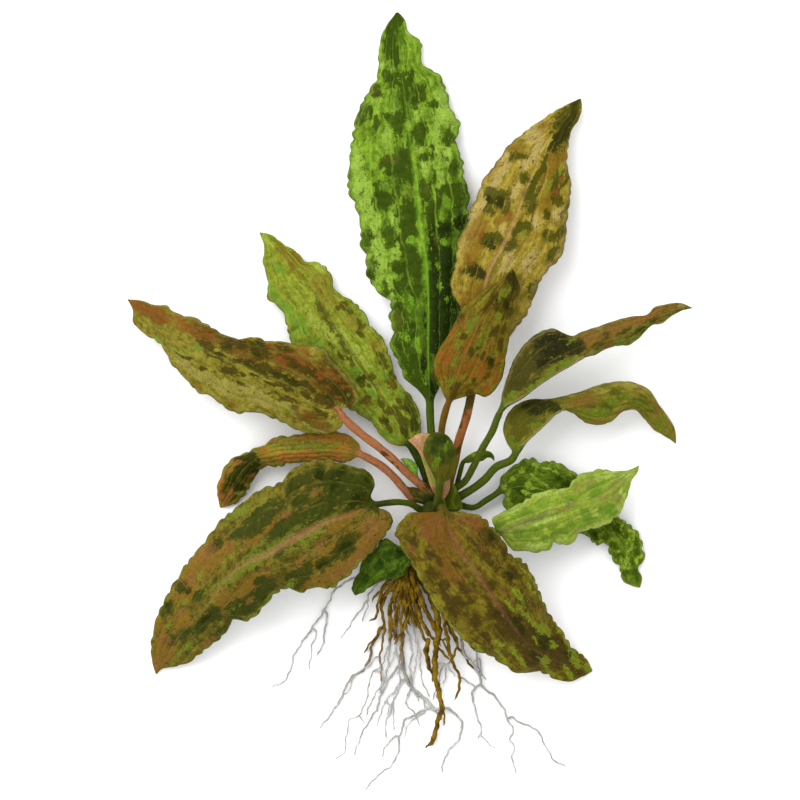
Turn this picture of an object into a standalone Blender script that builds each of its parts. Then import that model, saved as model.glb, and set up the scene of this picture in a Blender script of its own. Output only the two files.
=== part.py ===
"""A bare-rooted water trumpet plant, lifted from its tank and laid on a level surface.

It lies with its shoot along +Y and its roots along -Y, and it is seen from +Z. The origin is on the
surface, under the crown. Each leaf is one solid, leafstalk and blade together, and each root is a
tapering tube that stops just short of the rootstock or of the root that it grows from.
"""

import math

import bmesh
import bpy
import numpy as np

# Lengths are in millimetres up to the last step, where MM turns them into metres.
MM = 0.001
SURFACE = 0.0

# A blade's half thickness at its rim, and at its midrib as a share of the leafstalk's radius.
BLADE_RIM = 0.30
RIB_TO_STALK = 0.42
# How far along the outline the tip is cut blunt, and how steeply a blade falls towards its rims.
TIP_AT = 0.992
DROP_POWER = 1.6
# Points across one face of a leaf, rings in a leafstalk, and how near its points come to its sides.
LEAF_COLUMNS = 5
STALK_STATIONS = 5
STALK_ROUND = 0.94

ROOT_SIDES_RESOLUTION = 1
ROOT_POINT_SPACING = 5.5

LEAF_ROUGHNESS = 0.5
ROOT_ROUGHNESS = 0.75
GOLD = (0.19, 0.10, 0.008)
PALE = (0.38, 0.38, 0.35)
ROOTSTOCK_BROWN = (0.20, 0.11, 0.01)

# The rootstock, from its old end to its crown: x, y, height of its middle, half width, half height.
ROOTSTOCK = [
    (-11.6, -30.6, 3.6, 2, 2),
    (-11, -28.6, 3.7, 4.2, 3.9),
    (-10.3, -25.4, 4.2, 5, 4.8),
    (-8.8, -21, 4.2, 4.5, 4.6),
    (-7.2, -16.6, 4.4, 5, 5),
    (-5.4, -12.4, 4.3, 4.6, 4.7),
    (-3.4, -8.4, 4.5, 5, 5),
    (-1.6, -4.6, 4.4, 4.7, 4.8),
    (-0.4, -1.2, 4.3, 4.6, 4.7),
    (0.3, 1.6, 3.8, 3.8, 4),
    (0.6, 3.4, 4.6, 2.4, 2.6),
]
ROOTSTOCK_SIDES = 14
SCAR_RELIEF = 0.25
SCAR_WAVES = 3
SCAR_SHIFT = 1.7


# The tallest leaf stands straight up behind the others.
TALL_LEAF = dict(
    colour=(0.27, 0.5, 0.05),
    stations=22,
    stalk_radius=1.2,
    stalk=[
        (0, 4.4, 2.6), (-1.1, 9, 3.3), (-2.4, 18, 4.2), (-3, 26.4, 5),
    ],
    rib=[
        (-3, 30, 5.4), (-3.6, 43.5, 6.4), (-3.6, 61.2, 7.2), (-4.3, 72.6, 7.4), (-6, 82.2, 7.4),
        (-6.8, 92.1, 7), (-7.8, 100.5, 6.4), (-9, 107.7, 5.6), (-10.2, 117.6, 4.4), (-11.5, 127.2, 2.8),
        (-12.3, 137.1, 1.2), (-12.9, 146.7, 0.15),
    ],
    left=[
        (-3.9, 29.7), (-6.9, 33.3), (-10.5, 36.3), (-12.3, 40.8), (-15, 46.8), (-14.1, 49.8),
        (-15.3, 55.2), (-14.7, 58.8), (-18.6, 62.4), (-22.3, 68.7), (-22.2, 72.6), (-23.8, 76.5),
        (-23.8, 81), (-25.8, 89.1), (-27.6, 92.7), (-27.6, 96.9), (-27.1, 102.9), (-26.1, 110.1),
        (-24.9, 115.8), (-21.6, 122.4), (-18.6, 127.5), (-18.6, 131.7), (-17.1, 140.4), (-12.9, 146.7),
    ],
    right=[
        (-2.1, 29.7), (1.2, 36.6), (5.1, 42.6), (6.6, 48), (6.3, 54.6), (6.3, 60), (7.2, 66),
        (7.8, 72.6), (8.1, 78.6), (8.4, 86.7), (8.7, 92.1), (7.1, 97.2), (6.6, 102.9), (4.8, 106.8),
        (5.9, 113.4), (4.5, 115.2), (2.7, 120), (1.5, 123.9), (-0.1, 127.5), (-4.8, 130.5),
        (-5.7, 132.6), (-5.5, 137.1), (-9.8, 141), (-10.5, 144), (-12.9, 146.7),
    ],
    left_drop=[0, -1.6, -2.6, -2.6, -2.0, -0.8, 0],
    right_drop=[0, -1.6, -2.6, -2.6, -2.0, -0.8, 0],
)

# The tan leaf leans right, over the edge of the tall one.
GOLD_LEAF = dict(
    colour=(0.5, 0.36, 0.1),
    stations=20,
    stalk_radius=1.3,
    stalk=[
        (2.2, 3.8, 5.3), (3.9, 9.6, 6.2), (5.7, 18, 7.4), (7.8, 24.6, 8.8), (9.3, 31.5, 10),
    ],
    rib=[
        (9.9, 36, 10.8), (11.1, 49.5, 12), (12.9, 63, 12.8), (15.3, 70.5, 13), (18.9, 76.5, 12.8),
        (21.3, 81.6, 12.4), (23.1, 86.4, 11.8), (25.1, 91.8, 11), (28.5, 99.6, 9.4), (30.9, 106.2, 7.8),
        (35.4, 111.6, 5.8), (39, 115.8, 4), (42.3, 120.6, 1.8),
    ],
    left=[
        (9, 35.7), (7.5, 45), (6.3, 57.3), (3.3, 63), (4.8, 72), (5.4, 78), (7.8, 81.9), (9.3, 87.6),
        (11.1, 91.2), (12.9, 96), (16.2, 100.2), (18.3, 103.5), (20.7, 106.5), (24, 109.3),
        (31.2, 114.6), (36, 117.6), (42.3, 120.6),
    ],
    right=[
        (10.8, 35.7), (15, 40.8), (18.9, 46.5), (23.1, 51.9), (25.5, 54.9), (28.3, 61.2), (30.6, 66.6),
        (33.3, 69.9), (35.7, 72), (37.5, 77.4), (38.1, 84), (39, 90.6), (39.3, 94.8), (38.1, 100.8),
        (38.5, 106.2), (39.3, 110.4), (41.4, 113.7), (42.6, 117.9), (42.3, 120.6),
    ],
    left_drop=[0, -1.6, -2.8, -3, -2.4, -1, 0],
    right_drop=[0, -1.6, -2.8, -3, -2.4, -1, 0],
)

# A short brown leaf in front of the two tall ones.
BROWN_FRONT_LEAF = dict(
    colour=(0.32, 0.13, 0.02),
    stations=14,
    stalk_radius=1.05,
    stalk=[
        (0.8, 3.4, 8.6), (0.6, 13.5, 11), (0.4, 20.4, 13.4), (1.8, 27.3, 15.4),
    ],
    rib=[
        (2.7, 30, 16), (4.2, 34.5, 17.2), (5.8, 40.2, 18.4), (8.7, 46.8, 19.6), (12.6, 54.9, 19.8),
        (16.2, 59.7, 18.8), (18.9, 64.5, 17.2), (21.6, 69.6, 15),
    ],
    left=[
        (2.1, 29.7), (0.9, 31.8), (0, 34.5), (-1.9, 39), (-1.8, 42), (-0.3, 45.4), (2.4, 49.5),
        (4.8, 54), (6.9, 57.9), (9.9, 60.3), (14.4, 64.2), (18.9, 66.3), (21.6, 69.6),
    ],
    right=[
        (3.3, 29.7), (5.1, 30.3), (7.2, 30.9), (10.5, 31.8), (13.7, 30.9), (15.9, 32.4), (18.3, 36),
        (19.8, 43.5), (21, 50.1), (21.9, 54.9), (23.1, 59.4), (24, 63.6), (23.1, 66.6), (21.6, 69.6),
    ],
    left_drop=[0, -1.6, -2.8, -3, -2, -1, 0],
    right_drop=[0, -1.4, -2.8, -3, -2, -1, 0],
)

# The green leaf to the upper left lies close to the surface.
UPPER_LEFT_LEAF = dict(
    colour=(0.28, 0.38, 0.05),
    stations=20,
    stalk_radius=1.2,
    stalk=[
        (-3.3, 3.9, 2.8), (-5.1, 9.3, 3.3), (-7.5, 14.1, 4),
    ],
    rib=[
        (-9.3, 17.1, 4.6), (-13.3, 24.6, 5.4), (-21.7, 36.9, 6.2), (-27.6, 45.6, 6.4),
        (-32.4, 53.4, 6.2), (-37, 61, 5.2), (-42.9, 68.7, 3.4), (-50.4, 77.1, 1.2), (-54.3, 80.4, 0.15),
    ],
    left=[
        (-9.9, 16.5), (-12.3, 16.2), (-17.7, 19.2), (-20.1, 22.8), (-27, 27.3), (-35.1, 33.6),
        (-41.1, 40.8), (-44.4, 46.8), (-45.4, 49.5), (-46.2, 53.4), (-48.1, 57.6), (-51.6, 60.3),
        (-51.6, 65.7), (-53.1, 70.5), (-52.8, 76.3), (-54.3, 80.4),
    ],
    right=[
        (-8.7, 17.7), (-6.3, 18.9), (-5.8, 21), (-6.4, 26.7), (-8.7, 31.2), (-12.3, 35.1), (-14.1, 39.3),
        (-15.3, 43.8), (-17.4, 48.9), (-20.7, 52.2), (-22.5, 55.8), (-25.5, 59.1), (-28.5, 61),
        (-31.8, 63.6), (-32.2, 66), (-33.9, 69.5), (-37.5, 71.5), (-40.5, 71.7), (-42.9, 74.4),
        (-46.5, 76.5), (-51.3, 79.8), (-54.3, 80.4),
    ],
    left_drop=[0, -1.2, -2.4, -2.6, -2.0, -0.8, 0],
    right_drop=[0, -0.8, -2.4, -2.6, -2.0, -0.8, 0],
)

# The brown leaf to the left arches over its green neighbour.
LEFT_BROWN_LEAF = dict(
    colour=(0.18, 0.09, 0.02),
    stations=20,
    stalk_radius=1.25,
    stalk=[
        (-3.9, 3, 6.7), (-9.2, 7.5, 8.4), (-13.2, 11.4, 9.6), (-18.4, 15.9, 10.9), (-24.3, 20.4, 12.1),
        (-29.7, 25.5, 13.2),
    ],
    rib=[
        (-31.2, 27.3, 13.6), (-34.5, 29.4, 14), (-38.4, 31.8, 14.6), (-46.8, 35.1, 15.8),
        (-54.3, 38.1, 16), (-61.8, 41.7, 15.4), (-69.1, 44.1, 14), (-79.2, 49.2, 10.8),
        (-86.7, 53.7, 6.8), (-93.9, 60.3, 2.6),
    ],
    left=[
        (-30.9, 26.1), (-29.4, 24.6), (-29.4, 22.2), (-32.4, 20.2), (-36.9, 19.8), (-42.9, 21),
        (-46.8, 23.1), (-51.8, 25.2), (-57.3, 26.4), (-60.3, 25.9), (-64.2, 27.6), (-68.1, 30.6),
        (-72.1, 32.1), (-76.5, 36.6), (-80.7, 41.1), (-83.7, 46.5), (-88, 49.5), (-92.1, 53.5),
        (-92.1, 57), (-93.9, 60.3),
    ],
    right=[
        (-30, 27.9), (-26.4, 27.9), (-24.3, 29.4), (-24.3, 31.2), (-27, 36.1), (-30.3, 40.2),
        (-35.4, 45.6), (-42.9, 46.5), (-48.3, 47.7), (-51.8, 47.7), (-55.2, 48.9), (-60.3, 48.3),
        (-64.2, 49.4), (-68.1, 51.6), (-72.6, 54.3), (-79.8, 56.5), (-81.6, 58.2), (-85.5, 58.5),
        (-89.1, 59.7), (-93.9, 60.3),
    ],
    left_drop=[0, -2, -3.6, -4, -3.4, -1.6, 0],
    right_drop=[0, -2, -3.6, -4, -3.4, -1.6, 0],
)

# A narrow leaf whose dark tip curls down.
CURLED_LEAF = dict(
    colour=(0.3, 0.18, 0.02),
    stations=14,
    stalk_radius=1.2,
    stalk=[
        (-5.6, 0.3, 4.5), (-8.1, 0.6, 4.9), (-10.8, 3.4, 5.8), (-14.1, 7.2, 6.8), (-18.4, 10.8, 7.6),
        (-22.2, 12.9, 8),
    ],
    rib=[
        (-24, 13.8, 8.2), (-30, 15, 8.8), (-36.6, 15.3, 9.2), (-42, 15, 9.2), (-48, 14.7, 8.8),
        (-54.6, 12.9, 7.4), (-59.1, 9, 5.4), (-62.4, 3.9, 2.8), (-66, -2.4, 0.15),
    ],
    left=[
        (-24.3, 13.2), (-27.9, 11.4), (-33.6, 11.7), (-39, 11.2), (-44.4, 11.1), (-49, 9.9),
        (-51.6, 10.2), (-55.2, 7.5), (-57.4, 3.3), (-60.6, -0.6), (-66, -2.4),
    ],
    right=[
        (-23.7, 14.4), (-24.3, 16.8), (-26.4, 18.9), (-31.8, 20.6), (-36.9, 20.1), (-42.1, 19.8),
        (-45.3, 19.2), (-48.3, 19.2), (-52.8, 16.8), (-58.5, 14.1), (-62.7, 12.2), (-65.7, 7.8),
        (-66.9, 3.6), (-66, -2.4),
    ],
    left_drop=[0, -1.4, -2.2, -2.4, -2.4, -1.2, 0],
    right_drop=[0, -1.0, -1.8, -2.4, -2.4, -1.2, 0],
)

# The large leaf to the lower left arches high and comes down at its tip.
LOWER_LEFT_LEAF = dict(
    colour=(0.12, 0.14, 0.02),
    stations=22,
    stalk_radius=0.95,
    stalk=[
        (-6.4, -2.5, 6.9), (-8.4, -1.3, 7.8), (-12, -0.6, 8.9), (-16.5, -0.9, 10.4),
    ],
    rib=[
        (-20.1, -1.5, 11.8), (-23.1, -2.7, 12.8), (-27.9, -4.8, 14.6), (-33.6, -6.3, 16.6),
        (-39.6, -9.3, 18.4), (-45.3, -12, 19.6), (-51, -15.9, 20), (-60, -19.8, 19.2),
        (-65.1, -24.9, 17.2), (-70.2, -32.1, 13.6), (-77.5, -39.6, 7.6), (-83.4, -49.2, 1.6),
        (-85.2, -52.5, 0.15),
    ],
    left=[
        (-19.2, -2.2), (-15.3, -3.6), (-14.1, -6.3), (-16.5, -10.5), (-19.5, -14.7), (-24.3, -19.2),
        (-27.9, -23.1), (-33, -26.4), (-37.5, -26.1), (-41.7, -27.6), (-45.3, -26.4), (-52.8, -31.8),
        (-55.2, -34.8), (-58.2, -36.3), (-61.2, -35.7), (-65.1, -40.8), (-70.2, -44.7), (-74.7, -48.3),
        (-80.1, -50.1), (-83.4, -50.7), (-85.2, -52.5),
    ],
    right=[
        (-20.1, -0.6), (-20.7, 1.2), (-19.5, 5.1), (-21.3, 8.4), (-28.2, 10.5), (-32.7, 12),
        (-40.2, 11.4), (-43.8, 9.6), (-47.7, 5.5), (-54.3, 3), (-60.1, -1.5), (-66, -6.3),
        (-70.5, -12.3), (-75, -17.7), (-79, -23.4), (-82, -28.8), (-84.6, -34.2), (-86.7, -43.8),
        (-86.4, -48.3), (-85.2, -52.5),
    ],
    left_drop=[0, -2, -4, -4.6, -4, -1.6, 0],
    right_drop=[0, -2, -4, -4.6, -4, -1.6, 0],
)

# The broad brown leaf in front hides its own short leafstalk.
FRONT_LEAF = dict(
    colour=(0.18, 0.1, 0.01),
    stations=22,
    stalk_radius=1.3,
    stalk=[
        (-0.3, -6.5, 11.2), (0.1, -3.9, 14), (0.4, -2.4, 16.6), (0.9, -2.4, 19),
    ],
    rib=[
        (1.2, -4, 20.6), (2.7, -8.4, 22.8), (6.6, -15.9, 25.4), (10.2, -21, 26.4), (15, -27.6, 26.2),
        (20.4, -35.7, 23.4), (27.3, -44.1, 16.6), (36, -48.6, 8), (45.9, -51.3, 0.15),
    ],
    left=[
        (2.4, -3.3), (7.5, -3.6), (12.3, -4.8), (15.4, -7.8), (19.5, -12.8), (20.7, -15.9),
        (24.3, -17.7), (27.3, -21.6), (29.4, -26.4), (31.8, -32.1), (34.5, -36.6), (36.9, -39.6),
        (39.6, -44.1), (43.5, -47.1), (45.9, -51.3),
    ],
    right=[
        (0, -3.4), (-4.5, -3.6), (-9.3, -3.8), (-12.3, -7), (-13.5, -9.6), (-11.8, -13.2), (-9.3, -17.7),
        (-6, -23.7), (-1.8, -30.9), (1.8, -36), (6.6, -41.4), (10.5, -45), (15, -46.6), (19.5, -49.8),
        (22.5, -51.6), (30.3, -51.6), (34.8, -53.7), (37.8, -54.6), (42.3, -53.2), (45.9, -51.3),
    ],
    left_drop=[0, -3, -4.6, -5, -4, -1.6, 0],
    right_drop=[0, -3, -4.6, -5, -4, -1.6, 0],
)

# A small dark leaf low on the rootstock.
SMALL_DARK_LEAF = dict(
    colour=(0.02, 0.1, 0.01),
    stations=8,
    stalk_radius=0.8,
    stalk=[
        (-5.1, -12.3, 10.9), (-6.6, -13.5, 11.6),
    ],
    rib=[
        (-8.1, -15, 12.4), (-13.5, -18, 13.4), (-18.6, -21.6, 12.2), (-22.8, -25.5, 9.4),
        (-25.5, -28.6, 6),
    ],
    left=[
        (-8.2, -15.9), (-9.3, -20.1), (-11.7, -23.1), (-16.2, -24), (-20.1, -25.5), (-24, -28.1),
        (-25.5, -28.6),
    ],
    right=[
        (-8.7, -14.2), (-12.9, -13.3), (-16.8, -11.4), (-19.2, -13.9), (-22.6, -16.8), (-24.3, -21.3),
        (-26.4, -27), (-25.5, -28.6),
    ],
    left_drop=[0, -1.0, -1.2, -1.0, 0],
    right_drop=[0, -1.0, -1.4, -1.0, 0],
)

# This leaf is folded along its midrib near the base and open near its tip.
FOLDED_UPPER_LEAF = dict(
    colour=(0.3, 0.2, 0.05),
    stations=18,
    stalk_radius=1.05,
    stalk=[
        (4, 3.3, 7.3), (7.2, 5.4, 8.4), (9.9, 9.9, 9.8), (12.9, 15.9, 11.4), (15.8, 21, 12.8),
        (17.4, 25.2, 14),
    ],
    rib=[
        (18.9, 27.6, 14.8), (24.6, 30.4, 16.2), (28.8, 33.6, 17.2), (35.1, 37.8, 17.8),
        (40.8, 41.1, 17.6), (48, 47.1, 16.4), (57, 50.4, 13.6), (66, 55.5, 9.6), (75.8, 57.6, 4.6),
    ],
    left=[
        (18.1, 28.5), (18.6, 32.1), (19.8, 36), (22.2, 42.3), (26.4, 47.9), (30.6, 50.7), (33.9, 51.4),
        (36.9, 50.1), (39.6, 49.2), (42.3, 50.4), (46.9, 51.9), (54, 54.3), (58.2, 55.2), (61.8, 55.5),
        (63.9, 57.6), (68.1, 58.8), (72.3, 59.1), (75.8, 57.6),
    ],
    right=[
        (19.2, 29.1), (22.2, 32.4), (26.4, 36), (31.5, 39), (36.6, 41.7), (41.4, 42.6), (46.5, 43.5),
        (49.8, 45.3), (53.2, 46.2), (56.7, 46.5), (59.7, 48.6), (63.9, 52.5), (66.3, 52.8), (68.7, 54.6),
        (72.3, 56.7), (75.8, 57.6),
    ],
    left_drop=[0, -2, -3, -3.4, -3, -2, 0],
    right_drop=[0, -6, -7, -4, -2.4, -1.2, 0],
)

# The second folded leaf bends down to its tip.
FOLDED_LOWER_LEAF = dict(
    colour=(0.22, 0.24, 0.03),
    stations=18,
    stalk_radius=1.2,
    stalk=[
        (5.5, 0.9, 6.6), (9.6, 3.3, 7.2), (13.2, 6, 8), (16.8, 9.9, 9), (21.6, 12.3, 10),
    ],
    rib=[
        (23.2, 14.7, 10.8), (26.7, 18, 12), (30.9, 21.9, 13), (35.4, 26.1, 13.6), (41.4, 29.1, 13.6),
        (51.6, 30, 12.6), (60, 29.7, 10.6), (65.4, 24.6, 7.6), (70.8, 16.8, 3.4),
    ],
    left=[
        (21.9, 14.4), (20.2, 16.8), (18.9, 21), (19.5, 24.3), (21.6, 27.6), (24.3, 29.4), (27.6, 30.3),
        (31.5, 30.3), (41.4, 32.4), (49.8, 35.1), (57.4, 35.4), (62.4, 33.3), (66, 28.1), (68.7, 24.6),
        (70.5, 21), (70.8, 16.8),
    ],
    right=[
        (23.7, 15), (26.1, 18.9), (29.4, 22.8), (33.6, 26.7), (37.2, 27), (40.5, 25.5), (43.2, 23.4),
        (46.9, 22.5), (51.6, 23.7), (54.6, 26.4), (58.2, 27), (61.2, 24.3), (64.2, 21), (67.2, 19.2),
        (69.6, 17.7), (70.8, 16.8),
    ],
    left_drop=[0, -2, -3, -3, -2.4, -1.4, 0],
    right_drop=[0, -4, -5, -3, -2.4, -1.4, 0],
)

# The dark green leaf lies lowest on the right.
DARK_GREEN_LEAF = dict(
    colour=(0.04, 0.12, 0.01),
    stations=20,
    stalk_radius=0.9,
    stalk=[
        (5.7, -1.5, 3.2), (10.2, -2.2, 3.6), (14.1, 0.1, 3.9), (16.8, 1.8, 4.2),
    ],
    rib=[
        (18.6, 3, 4.4), (24.6, 4.2, 5), (31.5, 3, 5.4), (39, 0, 5.4), (45, -4.5, 5), (50.1, -9.3, 4.2),
        (54.6, -15.3, 2.6), (57.6, -21.6, 1.2), (60, -26.4, 0.15),
    ],
    left=[
        (18, 4.2), (18.1, 6.6), (20.1, 8.7), (23.6, 11.4), (27.6, 12.6), (30, 11.4), (33.6, 11.7),
        (36.9, 10.5), (40.5, 8.1), (45, 4.5), (49.5, 0), (52.5, -3), (54.4, -5.7), (56.7, -7.2),
        (60, -10.8), (60.9, -14.7), (61.2, -18.3), (59.4, -20.1), (60.6, -23.4), (60, -26.4),
    ],
    right=[
        (18.6, 2.4), (19.5, 1.2), (18.6, -0.9), (20.1, -3), (23.1, -6.6), (27.6, -9.3), (33, -11.1),
        (39, -10.8), (43.2, -10.3), (47.4, -13.5), (49.4, -12.9), (51.3, -17.2), (53.7, -20.1),
        (54.9, -24.3), (56.2, -25.2), (60, -26.4),
    ],
    left_drop=[0, -0.8, -1.6, -1.8, -1.2, -0.5, 0],
    right_drop=[0, -0.8, -1.6, -1.8, -1.2, -0.5, 0],
)

# The pale green leaf covers the middle of the dark one.
LIGHT_GREEN_LEAF = dict(
    colour=(0.28, 0.46, 0.05),
    stations=16,
    stalk_radius=1.05,
    stalk=[
        (3.4, -5.7, 7.4), (7.5, -8.4, 8.7), (12.6, -9.6, 10), (15.9, -9.9, 10.9),
    ],
    rib=[
        (17.7, -9.3, 11.4), (23.6, -7.2, 12.6), (30.9, -5.2, 13.8), (38.1, -2.7, 14.2),
        (45.3, -0.3, 13.6), (52.5, 4.8, 11.4), (59.7, 10.5, 8),
    ],
    left=[
        (16.5, -8.7), (15.6, -5.4), (18, -3.9), (21, -2.4), (25.1, -0.2), (29.4, 2.4), (34.5, 3.4),
        (37.4, 3.6), (41.1, 7.2), (44.7, 8.7), (48, 9.3), (52.5, 8.7), (57.3, 9.3), (59.7, 10.5),
    ],
    right=[
        (18, -10.2), (19.8, -12.9), (21.3, -14.7), (25.3, -15.3), (30, -15.6), (33, -14.4),
        (34.2, -12.9), (37.4, -13.5), (40.2, -12.3), (41.7, -9.9), (45.3, -8.7), (50.1, -7.2),
        (53.7, -3.9), (56.2, 1.6), (57.3, 5.4), (59.4, 9), (59.7, 10.5),
    ],
    left_drop=[0, -1.6, -2.6, -3, -2.4, -1, 0],
    right_drop=[0, -1.6, -2.6, -3, -2.4, -1, 0],
)

# The youngest open leaf, short and oval, in front of the leafstalks.
YOUNG_LEAF = dict(
    colour=(0.05, 0.08, 0.01),
    stations=8,
    stalk_radius=1.1,
    stalk=[
        (-1.1, -1.5, 11.9), (-0.6, 0.9, 13.5), (-0.1, 3.6, 15.2),
    ],
    rib=[
        (-0.4, 5.1, 16.2), (-0.6, 9, 18.2), (-0.3, 13.5, 19.6), (-0.3, 17.4, 19.4), (-0.9, 20.4, 18.2),
    ],
    left=[
        (-1.3, 5.5), (-2.1, 7.5), (-3.9, 11.1), (-5.1, 14.7), (-4.5, 17.4), (-3, 19.8), (-0.9, 20.4),
    ],
    right=[
        (0.9, 5.4), (2.4, 6), (4.2, 7.8), (5.1, 12), (4.5, 15.3), (3, 18.6), (0.9, 20.1), (-0.9, 20.4),
    ],
    left_drop=[0, -0.8, -1.4, -1.2, 0],
    right_drop=[0, -0.8, -1.4, -1.2, 0],
)

# A leaf still opening behind the youngest one, with a pink underside.
PINK_YOUNG_LEAF = dict(
    colour=(0.52, 0.27, 0.12),
    stations=10,
    stalk_radius=0.8,
    stalk=[
        (1.2, -1.5, 10.3), (0.9, -0.6, 10.7),
    ],
    rib=[
        (0.6, 0.3, 11.1), (0, 3, 12), (-0.9, 7.5, 13.1), (-2.4, 12, 13.8), (-4.8, 15.9, 14.2),
        (-7.2, 18, 13.8), (-9.6, 18, 12.8),
    ],
    left=[
        (0, 0), (-2.4, 3), (-3.9, 7.2), (-5.1, 11.1), (-6.6, 14.7), (-9.6, 18),
    ],
    right=[
        (1.3, 0.3), (2.7, 2.7), (3, 6.6), (2.1, 10.5), (0, 15.3), (-3, 19.9), (-5.7, 20.1), (-9.6, 18),
    ],
    left_drop=[0, -0.4, -0.8, -0.6, 0],
    right_drop=[0, -0.4, -0.8, -0.6, 0],
)

# A pointed dark sheath leaf closes over the front of the crown.
CROWN_SHEATH = dict(
    colour=(0.03, 0.06, 0.02),
    stations=6,
    stalk_radius=0.7,
    stalk=[
        (4.2, -3.9, 8.9), (4.2, -3.3, 9.1),
    ],
    rib=[
        (4.2, -2.7, 9.3), (4, 0, 9.9), (3.9, 3, 10), (3.8, 5.7, 9.7),
    ],
    left=[
        (1.8, -2.9), (1.9, 0.3), (2.7, 3), (3.8, 5.7),
    ],
    right=[
        (6.9, -2.9), (6.3, 0.3), (5.1, 3), (3.8, 5.7),
    ],
    left_drop=[0, -0.5, -0.4, 0],
    right_drop=[-0.6, -1.4, -0.8, 0],
)

# The smallest leaf, bright green, left of the crown.
SPROUT_LEAF = dict(
    colour=(0.12, 0.4, 0.02),
    stations=6,
    stalk_radius=0.45,
    stalk=[
        (-5, 2.2, 5), (-5.5, 3.6, 5.3),
    ],
    rib=[
        (-6.3, 4.8, 5.6), (-7.8, 8.1, 6), (-9.6, 10.5, 6), (-12, 12.3, 5.6),
    ],
    left=[
        (-6.6, 4.5), (-7.5, 6.3), (-9.2, 9), (-12, 12.3),
    ],
    right=[
        (-6, 5.1), (-6.6, 7.5), (-6.9, 10.5), (-8.7, 12.2), (-10.8, 12.6), (-12, 12.3),
    ],
    left_drop=[0, -0.4, -0.6, 0],
    right_drop=[0, -0.4, -0.6, 0],
)

# A new leaf still rolled up, bent over like a hook.
HOOKED_LEAF = dict(
    colour=(0.07, 0.16, 0.01),
    stations=8,
    stalk_radius=0.75,
    stalk=[
        (4.8, 3, 4.7), (5.7, 7.2, 5.2),
    ],
    rib=[
        (6.8, 11.4, 5.8), (9, 13, 6.4), (12, 13.5, 6.6), (14.4, 13.8, 6.2), (16.2, 11.7, 5.2),
    ],
    left=[
        (6.1, 11.4), (7.8, 12.9), (10.2, 14.4), (14.1, 14.8), (15.6, 14.1), (16.3, 12.6), (16.2, 11.7),
    ],
    right=[
        (7.3, 11.2), (8.4, 11.1), (10.2, 11.5), (12.9, 11.8), (14.4, 12.8), (15.3, 12.6), (15.9, 12),
        (16.2, 11.7),
    ],
    left_drop=[0, -0.8, -1.2, -0.6, 0],
    right_drop=[0, -0.8, -1.2, -0.6, 0],
)

LEAVES = {
    "tall_leaf": TALL_LEAF,
    "gold_leaf": GOLD_LEAF,
    "brown_front_leaf": BROWN_FRONT_LEAF,
    "upper_left_leaf": UPPER_LEFT_LEAF,
    "left_brown_leaf": LEFT_BROWN_LEAF,
    "curled_leaf": CURLED_LEAF,
    "lower_left_leaf": LOWER_LEFT_LEAF,
    "front_leaf": FRONT_LEAF,
    "small_dark_leaf": SMALL_DARK_LEAF,
    "folded_upper_leaf": FOLDED_UPPER_LEAF,
    "folded_lower_leaf": FOLDED_LOWER_LEAF,
    "dark_green_leaf": DARK_GREEN_LEAF,
    "light_green_leaf": LIGHT_GREEN_LEAF,
    "young_leaf": YOUNG_LEAF,
    "pink_young_leaf": PINK_YOUNG_LEAF,
    "crown_sheath": CROWN_SHEATH,
    "sprout_leaf": SPROUT_LEAF,
    "hooked_leaf": HOOKED_LEAF,
}

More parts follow.
